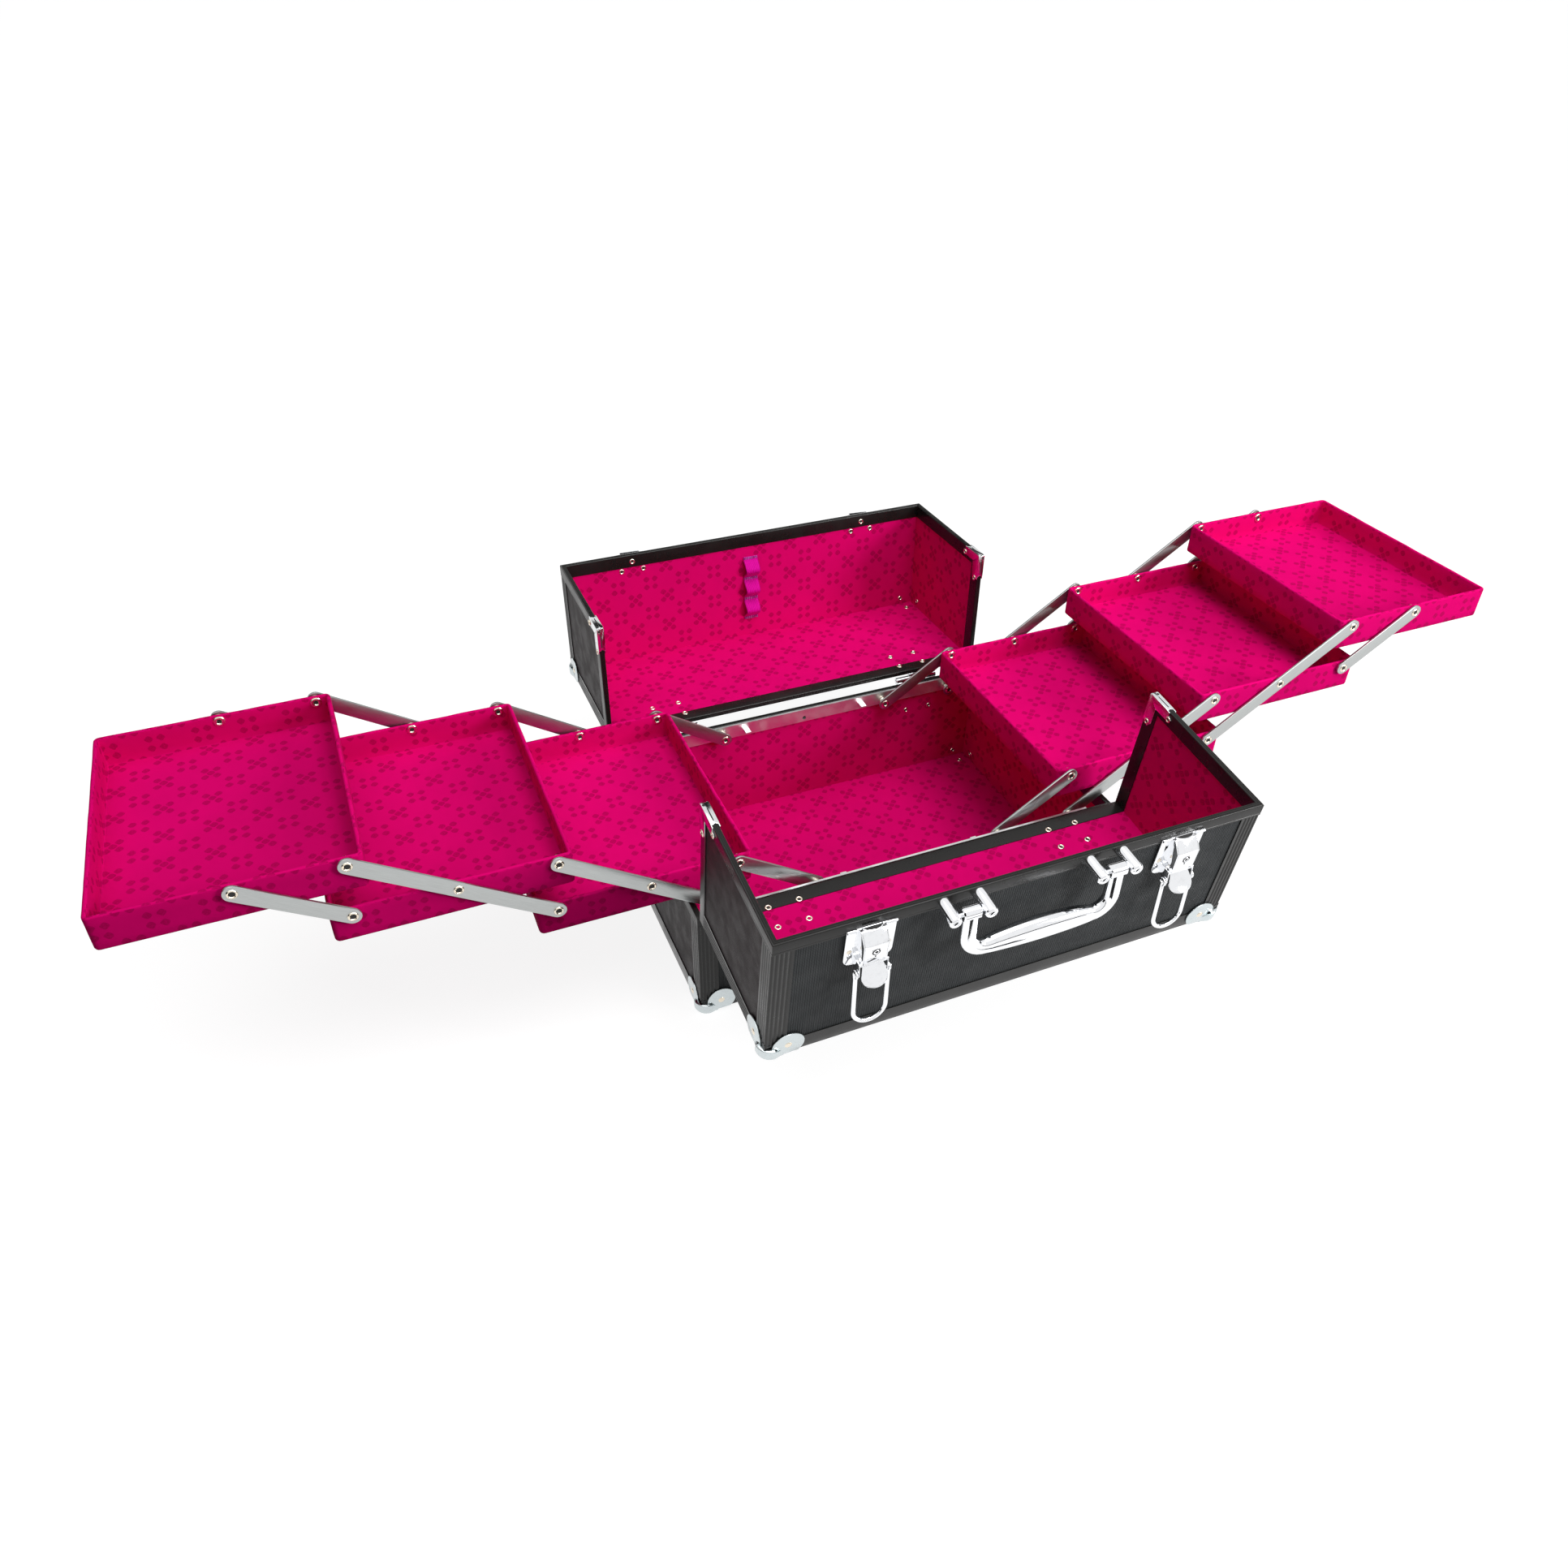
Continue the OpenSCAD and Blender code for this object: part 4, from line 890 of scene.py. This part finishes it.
def shellFactor(v):
    # keeps the thickness even where faces meet at an angle
    worst = max((1 - v.normal.dot(f.normal) for f in v.link_faces), default=0)
    return 1 / max(0.6, 1 - worst)


def addCap(build, place, s=capSet):
    build.add(drawn(capSurface), place, bevel=0.2, angle=55)
    along, up, under, b = s["earAlong"], s["earUp"], s["earUnder"], s["ball"]
    ear = arc(along, up, s["earR"], -50, 200, 26) + [(b - 1.5, 6), (b - 1.5, 0.9)]
    for turn in (swapYZ, turnToX):
        build.add(drawn(prism, ear, -s["t"], -0.1), place @ turn, bevel=0.25)
    for seat in (shift(-s["t"], along, up) @ spin(-90, "Y"), shift(along, -s["t"], up) @ spin(90, "X")):
        addDome(build, place @ seat, s["domeR"])
    wall = case["wall"]
    for seat in (shift(under, under, wall), shift(wall, along, up) @ spin(90, "Y"),
                 shift(along, wall, up) @ spin(-90, "X")):
        addEyelet(build, place @ seat)


for sx, hand in ends:
    for sy, row in ((-1, "f"), (1, "b")):
        caps = Build()
        addCap(caps, shift(sx * w2, sy * d2, case["foot"]) @ flip(-sx, -sy))
        caps.done("base_corner_" + row + hand, metals["cap"], "base", "base_cap_" + row + hand, "chrome")
for sy, side in sides:
    for sx, hand in ends:
        caps = Build()
        addCap(caps, shift(sx * w2, 0, case["coverH"]) @ flip(-sx, z=-1) @ swapYZ)
        caps.done(side + "_corner_" + hand, metals["cap"], side + "_cover", side + "_cap_" + hand, "chrome",
                  coverPlace(sy))
print("corner caps done")


# tip clips: a folded sheet over the rim, with two pointed plates on each side of the wall
clipSet = {"reach": 29, "along": 24.2, "edge": 4.6, "wide": 8.2, "t": 0.8, "web": 21, "slotIn": 2.3,
           "slotW": 0.9}


def clipPlate(u1, point, wide):
    return [(0.2, 0), (u1, 0), (u1 + 0.01, wide * 0.35), (point, wide * 0.62), (u1 - 1.5, wide),
            (wide * 0.9, wide)]


def addClip(build, depth, sx, c=clipSet):
    end, mirror = c["web"], flip(sx)
    out, back, mid = w2 + c["t"], w2 - inner - c["t"], w2 - c["slotIn"]
    web = [(0.6, back), (end, back), (end + 0.8, w2 - inner + 0.4), (end - 0.6, w2 - 2.4),
           (end + 0.8, w2 - 0.4), (end, out), (0.6, out), (-0.3, w2 + 0.2), (0.5, mid),
           (-0.3, w2 - inner - 0.2)]
    dot = [(0, -0.4), (1.1, -0.4), (1.15, -0.3)]
    low, high = mid - c["slotW"] / 2, mid + c["slotW"] / 2
    slot = [(6.2, low), (end - 3, low), (end - 2.2, mid), (end - 3, high), (6.2, high), (5.4, mid)]
    # in the plane of the end, u runs from the tip along the rim to the hinge, or up the seam edge
    legs = (Matrix(((0, 0, 1, 0), (-1, 0, 0, depth), (0, 1, 0, 0), (0, 0, 0, 1))),
            Matrix(((0, 0, 1, 0), (0, -1, 0, depth), (1, 0, 0, 0), (0, 0, 0, 1))))
    for k, leg in enumerate(legs):
        outline = clipPlate(end + 3.2, c["reach"] - 1.2, c["wide"] if k else c["wide"] + 1.5)
        for x0 in (w2, back):
            build.add(drawn(prism, outline, x0, x0 + c["t"]), mirror @ leg, bevel=0.18)
        over = mirror @ leg @ swapYZ
        build.add(drawn(prism, web, -0.35, 0.5), over, bevel=0.2)
        # the slot and the dot are near-black plates, painted shade of openings in the web
        build.add(drawn(prism, slot, -0.38, -0.30), over, finish=2)
        build.add(drawn(lathe, dot, 16), over @ shift(2.6, w2 - 0.9, 0), finish=2)
        at = (c["along"] + 0.6, c["edge"] + 1.6) if k else (c["along"], c["edge"])
        addEyelet(build, mirror @ leg @ shift(*at, out), "clip")
        addEyelet(build, mirror @ leg @ shift(*at, back) @ flip(z=-1), "clip")


for sy, side in sides:
    for sx, hand in ends:
        clips = Build()
        addClip(clips, coverDepth(sy), sx)
        name = side + "_clip_" + hand
        clips.done(name + "_plates", metals["clip"], side + "_cover", name, "chrome", coverPlace(sy))
print("tip clips done")


# cover hinges
hingeSet = {"w": 42, "x": 122, "len": 36, "t": 1.1, "r": 3.3, "near": 10.4, "far": 29.8, "rivetX": 12.5,
            "domeR": 2.8, "pinR": 1.8, "round": 3.2}


def knuckle(x0, x1, r):
    return [(0.9, x0), (r - 0.35, x0), (r, x0 + 0.35), (r, x1 - 0.35), (r - 0.35, x1), (0.9, x1)]


def addLeaf(build, base, h=hingeSet):
    # the pin is at the origin, the face at y = pinOut; the base's leaf hangs down, the cover's stands up
    p, half, r, t = case["pinOut"], h["w"] / 2, h["r"], h["t"]
    sign = -1 if base else 1
    low, high = sorted((sign * (r - t), sign * h["len"]))
    outline = roundedBox(-half, half, low, high, h["round"])
    build.add(drawn(prism, outline, -p, -p + t), spin(90, "X"), bevel=0.25)
    spans = ((-half, -half / 3 - 0.1), (half / 3 + 0.1, half)) if base else ((-half / 3, half / 3),)
    for x0, x1 in spans:
        build.add(drawn(block, x0, x1, 0, p, -r if base else r - t, -r + t if base else r), bevel=0.2)
        build.add(drawn(lathe, knuckle(x0, x1, r), 24), spin(90, "Y"))
    if base:
        k = h["pinR"]
        head = [(0, half + 0.5), (k - 0.5, half + 0.45), (k, half), (k, half - 0.5)]
        for sx in (-1, 1):
            build.add(drawn(lathe, head, 16), spin(sx * 90, "Y"))
    for dx in (-h["rivetX"], h["rivetX"]):
        for z in ((-h["far"],) if base else (h["near"], h["far"])):
            addDome(build, shift(dx, p - t, z) @ spin(90, "X"), h["domeR"])
            deep = inner if z == h["near"] else case["wall"]
            addEyelet(build, shift(dx, p + deep, z) @ spin(-90, "X"))


for sy, side in sides:
    for sx, hand in ends:
        leaf = Build()
        addLeaf(leaf, True)
        at, short = shift(sx * hingeSet["x"], -d2 - case["pinOut"], topZ), "base_" + side[0] + hand
        leaf.done("hinge_" + short, metals["latch"], "base", "leaf_" + short, "chrome", flip(y=-sy) @ at)
        leaf = Build()
        addLeaf(leaf, False)
        at, name = coverPlace(sy) @ shift(sx * hingeSet["x"], -case["pinOut"], 0), side + "_" + hand
        leaf.done("hinge_" + name, metals["latch"], side + "_cover", "leaf_" + name, "chrome", at)
print("hinges done")


# handle: drawn in its own plane, its pivot on the x axis and its grip at +y
gripSet = {"x": 55, "seam": 5.5, "h": 13, "drop": 34, "bend": 14, "legHalf": 5.9, "legThick": 4.7,
           "gripIn": 10.8, "gripThick": 7.0, "eyeR": 5.0, "eyeHalf": 6.5, "bore": 1.65, "postX": 13,
           "postR": 4.7, "postH": 19, "pin": 1.6}


def gripPath(g=gripSet, turns=8, halves=14):
    # stations of (place, heading, swell) down the left leg, round the bend and along to the middle
    x, y, b = g["x"], g["drop"], g["bend"]
    path = [((-x, t), (0, 1), 0.0) for t in (1.5, 4, 8, 14, y - b)]
    for a in (radians(90 * k / turns) for k in range(1, turns + 1)):
        path.append(((-x + b - b * cos(a), y - b + b * sin(a)), (sin(a), cos(a)), 0.0))
    path += [((-x + b + (x - b) * k / halves, y), (1, 0), k / halves) for k in range(1, halves + 1)]
    return path + [((-px, py), (tx, -ty), m) for (px, py), (tx, ty), m in reversed(path[:-1])]


def signed(base, power, side):
    return abs(base) ** power * (1 if side > 0 else -1)


def gripRings(g=gripSet):
    rings = []
    for (px, py), (tx, ty), m in gripPath():
        swell = sin(m * pi / 2) ** 0.7 if m else 0
        inwards = g["legHalf"] + (g["gripIn"] - g["legHalf"]) * swell
        thick = g["legThick"] + (g["gripThick"] - g["legThick"]) * swell
        power = 2 / (2.15 + 0.1 * swell)
        ring = []
        for c, d in ((cos(2 * pi * i / 24), sin(2 * pi * i / 24)) for i in range(24)):
            u = (g["legHalf"] if c > 0 else inwards) * signed(c, power, c)
            ring.append((px - ty * u, py + tx * u, thick * signed(d, power, d)))
        rings.append(ring)
    return rings


grip = Build()
grip.add(drawn(loft, gripRings()))
r, h, bore = gripSet["eyeR"], gripSet["eyeHalf"], gripSet["bore"]
eye = [(bore, -h), (r - 0.9, -h), (r, -h + 0.9), (r, h - 0.9), (r - 0.9, h), (bore, h)]
for x in (-gripSet["x"], gripSet["x"]):
    grip.add(drawn(lathe, eye, 32), shift(x, 0, 0) @ spin(90, "Y"))
hang = spin(case["frontOpen"] - 90, "X")   # the handle and the bails hang straight down
gripPlace = topPlace(-1) @ shift(0, gripSet["seam"], gripSet["h"]) @ hang
grip.done("carry_handle", metals["plain"], "handle", "handle", "chrome", gripPlace)
for sx, hand in ends:
    g, mount = gripSet, Build()
    r, h = g["postR"], g["postH"]
    post = [(r, 0), (r, h - 2.2), (r - 0.25, h - 1.2), (r - 0.9, h - 0.4),
            (r - 1.8, h), (2.0, h), (1.7, h - 0.4), (1.6, h - 1.6)]
    end = [(0, h - 1.5), (1.6, h - 1.5), (1.62, h - 1.2)]
    for x in (-g["postX"], g["postX"]):
        mount.add(drawn(lathe, post, 32), shift(x, g["seam"], 0))
        # the bottom of the post's bore is a near-black disc, painted shade
        mount.add(drawn(lathe, end, 20), shift(x, g["seam"], 0), finish=1)
    rod = [(0, -g["postX"]), (g["pin"], -g["postX"]), (g["pin"], g["postX"]), (0, g["postX"])]
    mount.add(drawn(lathe, rod, 20), shift(0, g["seam"], g["h"]) @ spin(90, "Y"))
    mount.done("handle_posts_" + hand, metals["post"], "front_cover", "handle_mount_" + hand, "chrome",
               topPlace(-1) @ shift(sx * g["x"], 0, 0))
print("handle done")


# draw latches, drawn on the cover's top, with y from the seam
latchSet = {"x": 118, "plateW": 35, "cut": 6.5, "seam": 6, "end": 41, "t": 1.2, "houseW": 18.6,
            "houseH": 10.5, "wallT": 1.3, "taper": 0.10, "lipX": 13.9, "lipHalf": 3.4, "lockR": 2.95,
            "mouth": (6.2, 3.1), "tongueAt": 34, "tongueLen": 17, "tongueHalf": 9.4, "tongueOpen": 34,
            "gap": 1.2, "lugX": 9.7, "lugT": 0.8, "bailAt": 41.5, "bailLen": 46, "bailW": 23.4, "wire": 1.7,
            "eyeR": 2.3, "eyeWire": 1.05}


def between(a, b):
    return min(a, b), max(a, b)


def narrowed(outline, x0, x1, s=latchSet):
    # a wall of the box, which is a little narrower at the tongue
    part = drawn(prism, outline, x0, x1)
    part.transform(turnToX)
    for v in part.verts:
        v.co.x *= 1 - s["taper"] * min(1, max(0, (v.co.y - s["seam"]) / (s["end"] - s["seam"])))
    return part


def latchPlate(build, s=latchSet):
    half, y0, y1, cut = s["plateW"] / 2, s["seam"], s["end"], s["cut"]
    outline = [(-half, y0), (half, y0), (half, y1 - cut)] + arc(half - cut, y1 - cut, cut, 0, 90, 5)[1:]
    outline += arc(-half + cut, y1 - cut, cut, 90, 180, 5)
    build.add(drawn(prism, outline, 0, s["t"]), bevel=0.35)


def latchSide(build, sx, a, s=latchSet):
    h, top, deep, pinZ = s["houseW"] / 2, s["houseH"], s["wallT"], s["houseH"] - 1.5
    end = s["tongueAt"] - s["gap"]
    cheek = [(a, 0.3), (a, top * 0.4), (a + 8, top), (end, top), (end, 0.3)]
    x0 = h - deep if sx > 0 else -h
    build.add(narrowed(cheek, x0, x0 + deep), bevel=0.22)
    # lug of the bail, set out so that the tongue lies down between the two
    lug = [(end - 1.2, 0.9), (end - 1.2, top - 0.5), (s["bailAt"] - 0.6, top + 0.9)]
    lug += arc(s["bailAt"], pinZ, 2.4, 75, -75, 8) + [(s["tongueAt"] + 4, 0.9)]
    build.add(drawn(prism, lug, *between(sx * s["lugX"], sx * (s["lugX"] + s["lugT"]))), turnToX, bevel=0.2)
    step = between(sx * (h - 2), sx * (s["lugX"] + s["lugT"] - 0.1))
    build.add(drawn(block, *step, end - 1.2, end, 0.9, top - 0.5), bevel=0.2)
    # rolled lip beside the box, on the plate's upper edge
    k = s["lipHalf"]
    lip = [(0, -k), (1.15, -k), (1.25, 0.3 - k), (1.25, k - 0.3), (1.15, k), (0, k)]
    build.add(drawn(lathe, lip, 16), shift(sx * s["lipX"], s["seam"] + 0.7, 1.4) @ spin(90, "Y"))
    addDome(build, shift(sx * s["lipX"], s["seam"] + 21, s["t"]), 1.9)
    # pin of the bail
    build.add(drawn(lathe, [(0, 0), (1.15, 0), (1.15, 3.7), (0.9, 4.0), (0, 4.0)], 14),
              shift(sx * s["lugX"], s["bailAt"], pinZ) @ spin(sx * 90, "Y"))


def latchBox(build, s=latchSet):
    a, u = s["seam"] + 0.5, s["tongueAt"] - 3.2
    h, top, deep = s["houseW"] / 2, s["houseH"], s["wallT"]
    latchPlate(build)
    for sx in (-1, 1):
        latchSide(build, sx, a)
    lid = [(a, 1.2), (a, top * 0.4), (a + 8, top), (u, top), (u, top - deep), (a + 8.5, top - deep),
           (a + deep, top * 0.4 - 0.5), (a + deep, 1.2)]
    build.add(narrowed(lid, -h + 0.3, h - 0.3), bevel=0.4)
    # mouth for the catch, under an arched lip; its opening is a near-black plate, painted shade
    mx, my = s["mouth"]
    steps = [pi * k / 12 for k in range(13)]
    mouth = [(mx * cos(t), my * sin(t)) for t in steps]
    arch = [((mx + 1.2) * cos(t), (my + 1.2) * sin(t)) for t in steps] + mouth[::-1]
    build.add(drawn(prism, arch, -0.9, 0.5), shift(0, a - 0.1, 0.9) @ spin(90, "X"), bevel=0.25)
    build.add(drawn(prism, mouth, 0.05, 0.15), shift(0, a - 0.05, 0.9) @ spin(90, "X"), finish=2)
    # lock: a ring round its barrel and key slot, both painted near-black as shade
    lockAt, r = shift(0, (a + 8 + u) / 2 - 1.5, top), s["lockR"]
    build.add(drawn(lathe, [(r - 0.05, 0), (r, 0.22), (r + 0.35, 0.25), (r + 0.5, 0.0)], 24), lockAt)
    build.add(drawn(lathe, [(0, 0.06), (r, 0.06), (r, 0.0)], 24), lockAt, finish=2)
    keyRing = [(1.2, 0.07), (1.3, 0.24), (1.75, 0.24), (1.9, 0.07)]
    build.add(drawn(lathe, keyRing, 20), lockAt @ shift(0.3, 0.4, 0))
    build.add(drawn(block, -0.45, 0.45, 2.4, 5.0, 0, 0.07), lockAt, finish=2)


def tongueSheet(bm, s=latchSet, steps=14):
    rows, size = [], s["tongueLen"]
    for v in (j / steps for j in range(steps + 1)):
        y = -1.6 + (size + 1.6) * v
        past = max(0, y - size + 7) / 7.1
        wide = (s["tongueHalf"] - 2.2 + 2.2 * min(1, max(0, v * 2.2 - 0.3))) * sqrt(1 - past ** 2) ** 0.8
        lift = 0.9 * max(0, v - 0.55) ** 2 * 9 + 0.3 * sin(v * pi)
        rows.append([(x / 4 * wide, y, lift + 0.55 * (1 - (x / 4) ** 2)) for x in range(-4, 5)])
    loft(bm, rows, loop=False)
    faceUp(bm)
    thickness(bm, 1.3)


def bailWire(bm, s=latchSet):
    w, bow = s["bailW"] / 2, s["bailLen"] - s["bailW"] / 2
    leg = [(-w + 1.7, 0.2, 0.2), (-w + 0.5, -0.6, 0), (-w - 0.1, 0.9, -0.1), (-w, 3.2, 0), (-w, 9, 0),
           (-w, bow, 0)]
    bend = [(w * cos(a), bow + w * sin(a), 0) for a in (pi - pi * k / 18 for k in range(1, 18))]
    tube(bm, leg + bend + [(-x, y, z) for x, y, z in reversed(leg)], s["wire"], 14)


for sx, hand in ends:
    s = latchSet
    here = topPlace(-1) @ shift(sx * s["x"], 0, 0)
    plate = Build()
    latchBox(plate)
    plate.done("latch_box_" + hand, metals["latch"], "front_cover", "latch_plate_" + hand, "chrome", here)
    tongue = Build()
    tongue.add(drawn(tongueSheet), spin(s["tongueOpen"], "X"), bevel=0.2, angle=50)
    k = s["lugX"] - 0.1
    hub = [(0, -k), (1.5, -k), (1.8, -k + 0.3), (1.8, k - 0.3), (1.5, k), (0, k)]
    tongue.add(drawn(lathe, hub, 20), spin(90, "Y"))
    name = "latch_tongue_" + hand
    tongue.done("latch_lever_" + hand, metals["plain"], name, name, "chrome",
                here @ shift(0, s["tongueAt"], s["houseH"] - 2.6))
    bail = Build()
    bail.add(drawn(bailWire))
    eye = [(0, s["eyeR"] * cos(a), s["eyeR"] * sin(a)) for a in (2 * pi * k / 18 for k in range(15))]
    for dx in (-1, 1):
        bail.add(drawn(tube, eye, s["eyeWire"], 10), shift(dx * (s["bailW"] / 2 - 0.1), 0, 0))
    name = "latch_bail_" + hand
    bail.done("latch_wire_" + hand, metals["plain"], name, name, "chrome",
              here @ shift(0, s["bailAt"], s["houseH"] - 1.5) @ hang)
print("latches done")


# catches on the back cover, for the bails
catchSet = {"w": 30, "len": 21, "h": 6, "t": 1.2, "hookT": 1.3, "hookHalf": 9.3, "round": 3.5, "rivetX": 10.5,
            "rivetY": 16, "domeR": 2.6}
for sx, hand in ends:
    c, build = catchSet, Build()
    half, top, under = c["w"] / 2, c["h"], c["h"] - c["hookT"]
    build.add(drawn(prism, roundedBox(-half, half, 0.6, c["len"], c["round"]), 0, c["t"]), bevel=0.3)
    hook = [(1, 0.5), (1, top - 0.5), (1.5, top), (5.4, top), (6.2, top - 0.6), (6.0, under - 0.3),
            (2.7, under), (2.3, top - 1.8), (2.3, 0.5)]
    build.add(drawn(prism, hook, -c["hookHalf"], c["hookHalf"]), turnToX, bevel=0.25)
    addEyelet(build, shift(0, 7, -inner) @ flip(z=-1))
    for x in (-c["rivetX"], c["rivetX"]):
        addDome(build, shift(x, c["rivetY"], c["t"]), c["domeR"])
        addEyelet(build, shift(x, c["rivetY"], -case["wall"]) @ flip(z=-1))
    build.done("catch_plate_" + hand, metals["latch"], "back_cover", "catch_" + hand, "chrome",
               topPlace(1) @ shift(sx * latchSet["x"], 0, 0))
print("catches done")


# brush strap: one elastic band, sewn down between its loops, drawn with z towards the board
strapSet = {"w": 15, "from": 23, "len": 68, "loops": 3, "h": 8, "t": 0.9, "seam": 3, "band": 0.00075,
            "stitches": 7, "stitchStep": 2, "stitchHalf": 0.62, "threadR": 0.24, "rows": (0.7, 2.2)}
loopStep = (strapSet["len"] - strapSet["seam"]) / strapSet["loops"]


def strapPath(s=strapSet):
    path = [(0, 0), (s["seam"] / 2, 0)]
    for start in (s["seam"] + k * loopStep for k in range(s["loops"])):
        for t in (i / 16 for i in range(1, 17)):
            path.append((start + t * (loopStep - s["seam"]), -s["h"] * sin(t * pi) ** 1.25 if t < 1 else 0))
        path.append((start + loopStep - s["seam"] / 2, 0))
    return path + [(s["len"], 0)]


def strapBand(bm, s=strapSet, across=(-1, -0.92, -0.6, -0.3, 0, 0.3, 0.6, 0.92, 1)):
    path, rows, run = strapPath(), [], 0
    uv = bm.loops.layers.uv.verify()
    for n, (y, z) in enumerate(path):
        if n:
            run += sqrt((y - path[n - 1][0]) ** 2 + (z - path[n - 1][1]) ** 2)
        high = abs(z) / s["h"]
        half = s["w"] / 2 * (1 - 0.035 * high)
        row = []
        for x in across:
            sag = s["t"] * (0.9 if abs(x) < 1 else 0.5) + 0.25 * high * (1 - x * x)
            row.append(bm.verts.new((x * half, y + 0.12 * noise.noise(Vector((x, y * 0.2, 3))), z - sag)))
        rows.append((row, run))
    for (low, from0), (high, to0) in zip(rows, rows[1:]):
        for b in range(len(across) - 1):
            face = bm.faces.new((low[b], low[b + 1], high[b + 1], high[b]))
            places = ((b, from0), (b + 1, from0), (b + 1, to0), (b, to0))
            for corner, (q, v) in zip(face.loops, places):
                corner[uv].uv = (q / 8 * s["w"] / 1000, v / 1000)
    faceUp(bm, -1)


s, strap = strapSet, Build()
strap.add(drawn(strapBand), unwrapped=True)
for k in range(s["loops"] + 1):
    for dy in s["rows"]:
        for q in range(s["stitches"]):
            x, y, half = (q - 3) * s["stitchStep"], k * loopStep + dy, s["stitchHalf"]
            low, high = 0.1 - s["t"], -s["t"] - 0.22
            pts = [(x - half, y, low), (x - 0.4, y, high), (x + 0.4, y, high), (x + half, y, low)]
            strap.add(drawn(tube, pts, s["threadR"], 6), finish=1)
strapPiece = strap.done("brush_loops", [elastic, thread], "back_cover", "brush_strap", "elastic",
                        topPlace(1) @ shift(0, s["from"], -case["wall"]), smooth=70)
thick = strapPiece.modifiers.new("thickness", "SOLIDIFY")
thick.thickness, thick.offset = s["band"], -1
print("strap done")


# floor, world, lamps, and dark cards that only the metal sees
# a lamp is name, power, size and place; a card is name, place, size and turn, None for lying flat
stageSet = {"world": 0.12, "floor": 0.26, "floorZ": -0.0003, "floorSize": 40, "glow": 0.88, "cardTone": 0.012,
            "aim": (0.1, 0, 0.12), "sun": ("overhead light", 1.15, 60, (-0.08, -0.12, 1.0)),
            "boxes": (("overhead softbox", 8.5, (0.7, 0.7), (0.22, -0.42, 1.35)),
                      ("right softbox", 19, (0.6, 0.5), (1.0, -1.15, 0.8))),
            "cards": (("front card", (-0.1, -1.9, 0.13), (3.2, 0.16), 0),
                      ("far left card", (-1.8, 1.9, 0.95), (1.3, 0.8), 0),
                      ("low card", (0.02, -0.50, 0.004), (0.16, 0.07), None),
                      ("left card", (-1.7, -0.3, 0.5), (2.4, 0.9), 90),
                      ("right card", (2.0, -0.2, 0.5), (2.0, 0.5), 90),
                      ("back card", (0.4, 1.9, 1.5), (3.4, 1.2), 0))}


def plane(name, size, finish):
    bm = bmesh.new()
    bmesh.ops.create_grid(bm, x_segments=4, y_segments=4, size=0.5)
    bm.transform(Matrix.Diagonal((size[0], size[1], 1, 1)))
    mesh = bpy.data.meshes.new(name)
    bm.to_mesh(mesh)
    bm.free()
    mesh.materials.append(finish)
    piece = linked(name, mesh)
    return piece


def seenPlainly(f):
    # 1 for rays that show the background: to the camera, in metal and through glass
    kinds = ["Is %s Ray" % kind for kind in ("Camera", "Glossy", "Transmission")]
    camera, glossy, clear = f.outputs("ShaderNodeLightPath", kinds)
    return camera.most(glossy).most(clear)


def makeFloor(s=stageSet):
    f = Finish("pale floor", (s["floor"],) * 3, 1.0, Specular_IOR_Level=0.0, Emission_Color=(1, 1, 1, 1))
    f.set(Emission_Strength=seenPlainly(f) * s["glow"])
    plane("floor", (s["floorSize"], s["floorSize"]), f.material).location.z = s["floorZ"]


def makeWorld(s=stageSet):
    world = bpy.data.worlds.new("studio")
    world.use_nodes = True
    nodes = Nodes(world.node_tree)
    back = world.node_tree.nodes["Background"]
    nodes.feed(back.inputs["Color"], (1, 1, 1, 1))
    plainly = seenPlainly(nodes)
    level = nodes.add("ShaderNodeMapRange", None, {"Value": plainly, "To Min": s["world"], "To Max": 1.0})
    nodes.feed(back.inputs["Strength"], level)
    bpy.context.scene.world = world


def facing(direction):
    return Vector(direction).to_track_quat("Z", "Y").to_euler()


def makeLamps(s=stageSet):
    name, strength, spread, towards = s["sun"]
    lamp = bpy.data.lights.new(name, "SUN")
    lamp.energy, lamp.angle = strength, radians(spread)
    linked(name, lamp).rotation_euler = facing(towards)
    for name, power, size, at in s["boxes"]:
        lamp = bpy.data.lights.new(name, "AREA")
        lamp.shape, lamp.size, lamp.size_y, lamp.energy = "RECTANGLE", *size, power
        softbox = linked(name, lamp)
        softbox.location = at
        softbox.rotation_euler = facing(Vector(at) - Vector(s["aim"]))


def makeCards(s=stageSet):
    dark = Finish("dark card", (s["cardTone"],) * 3, 1.0, Specular_IOR_Level=0.0)
    for name, at, size, turn in s["cards"]:
        card = plane(name, size, dark.material)
        card.matrix_world = shift(*at) @ (Matrix() if turn is None else spin(turn, "Z") @ spin(90, "X"))
        card.visible_camera = card.visible_diffuse = card.visible_shadow = False


makeFloor()
makeWorld()
makeLamps()
makeCards()
print("stage lit")
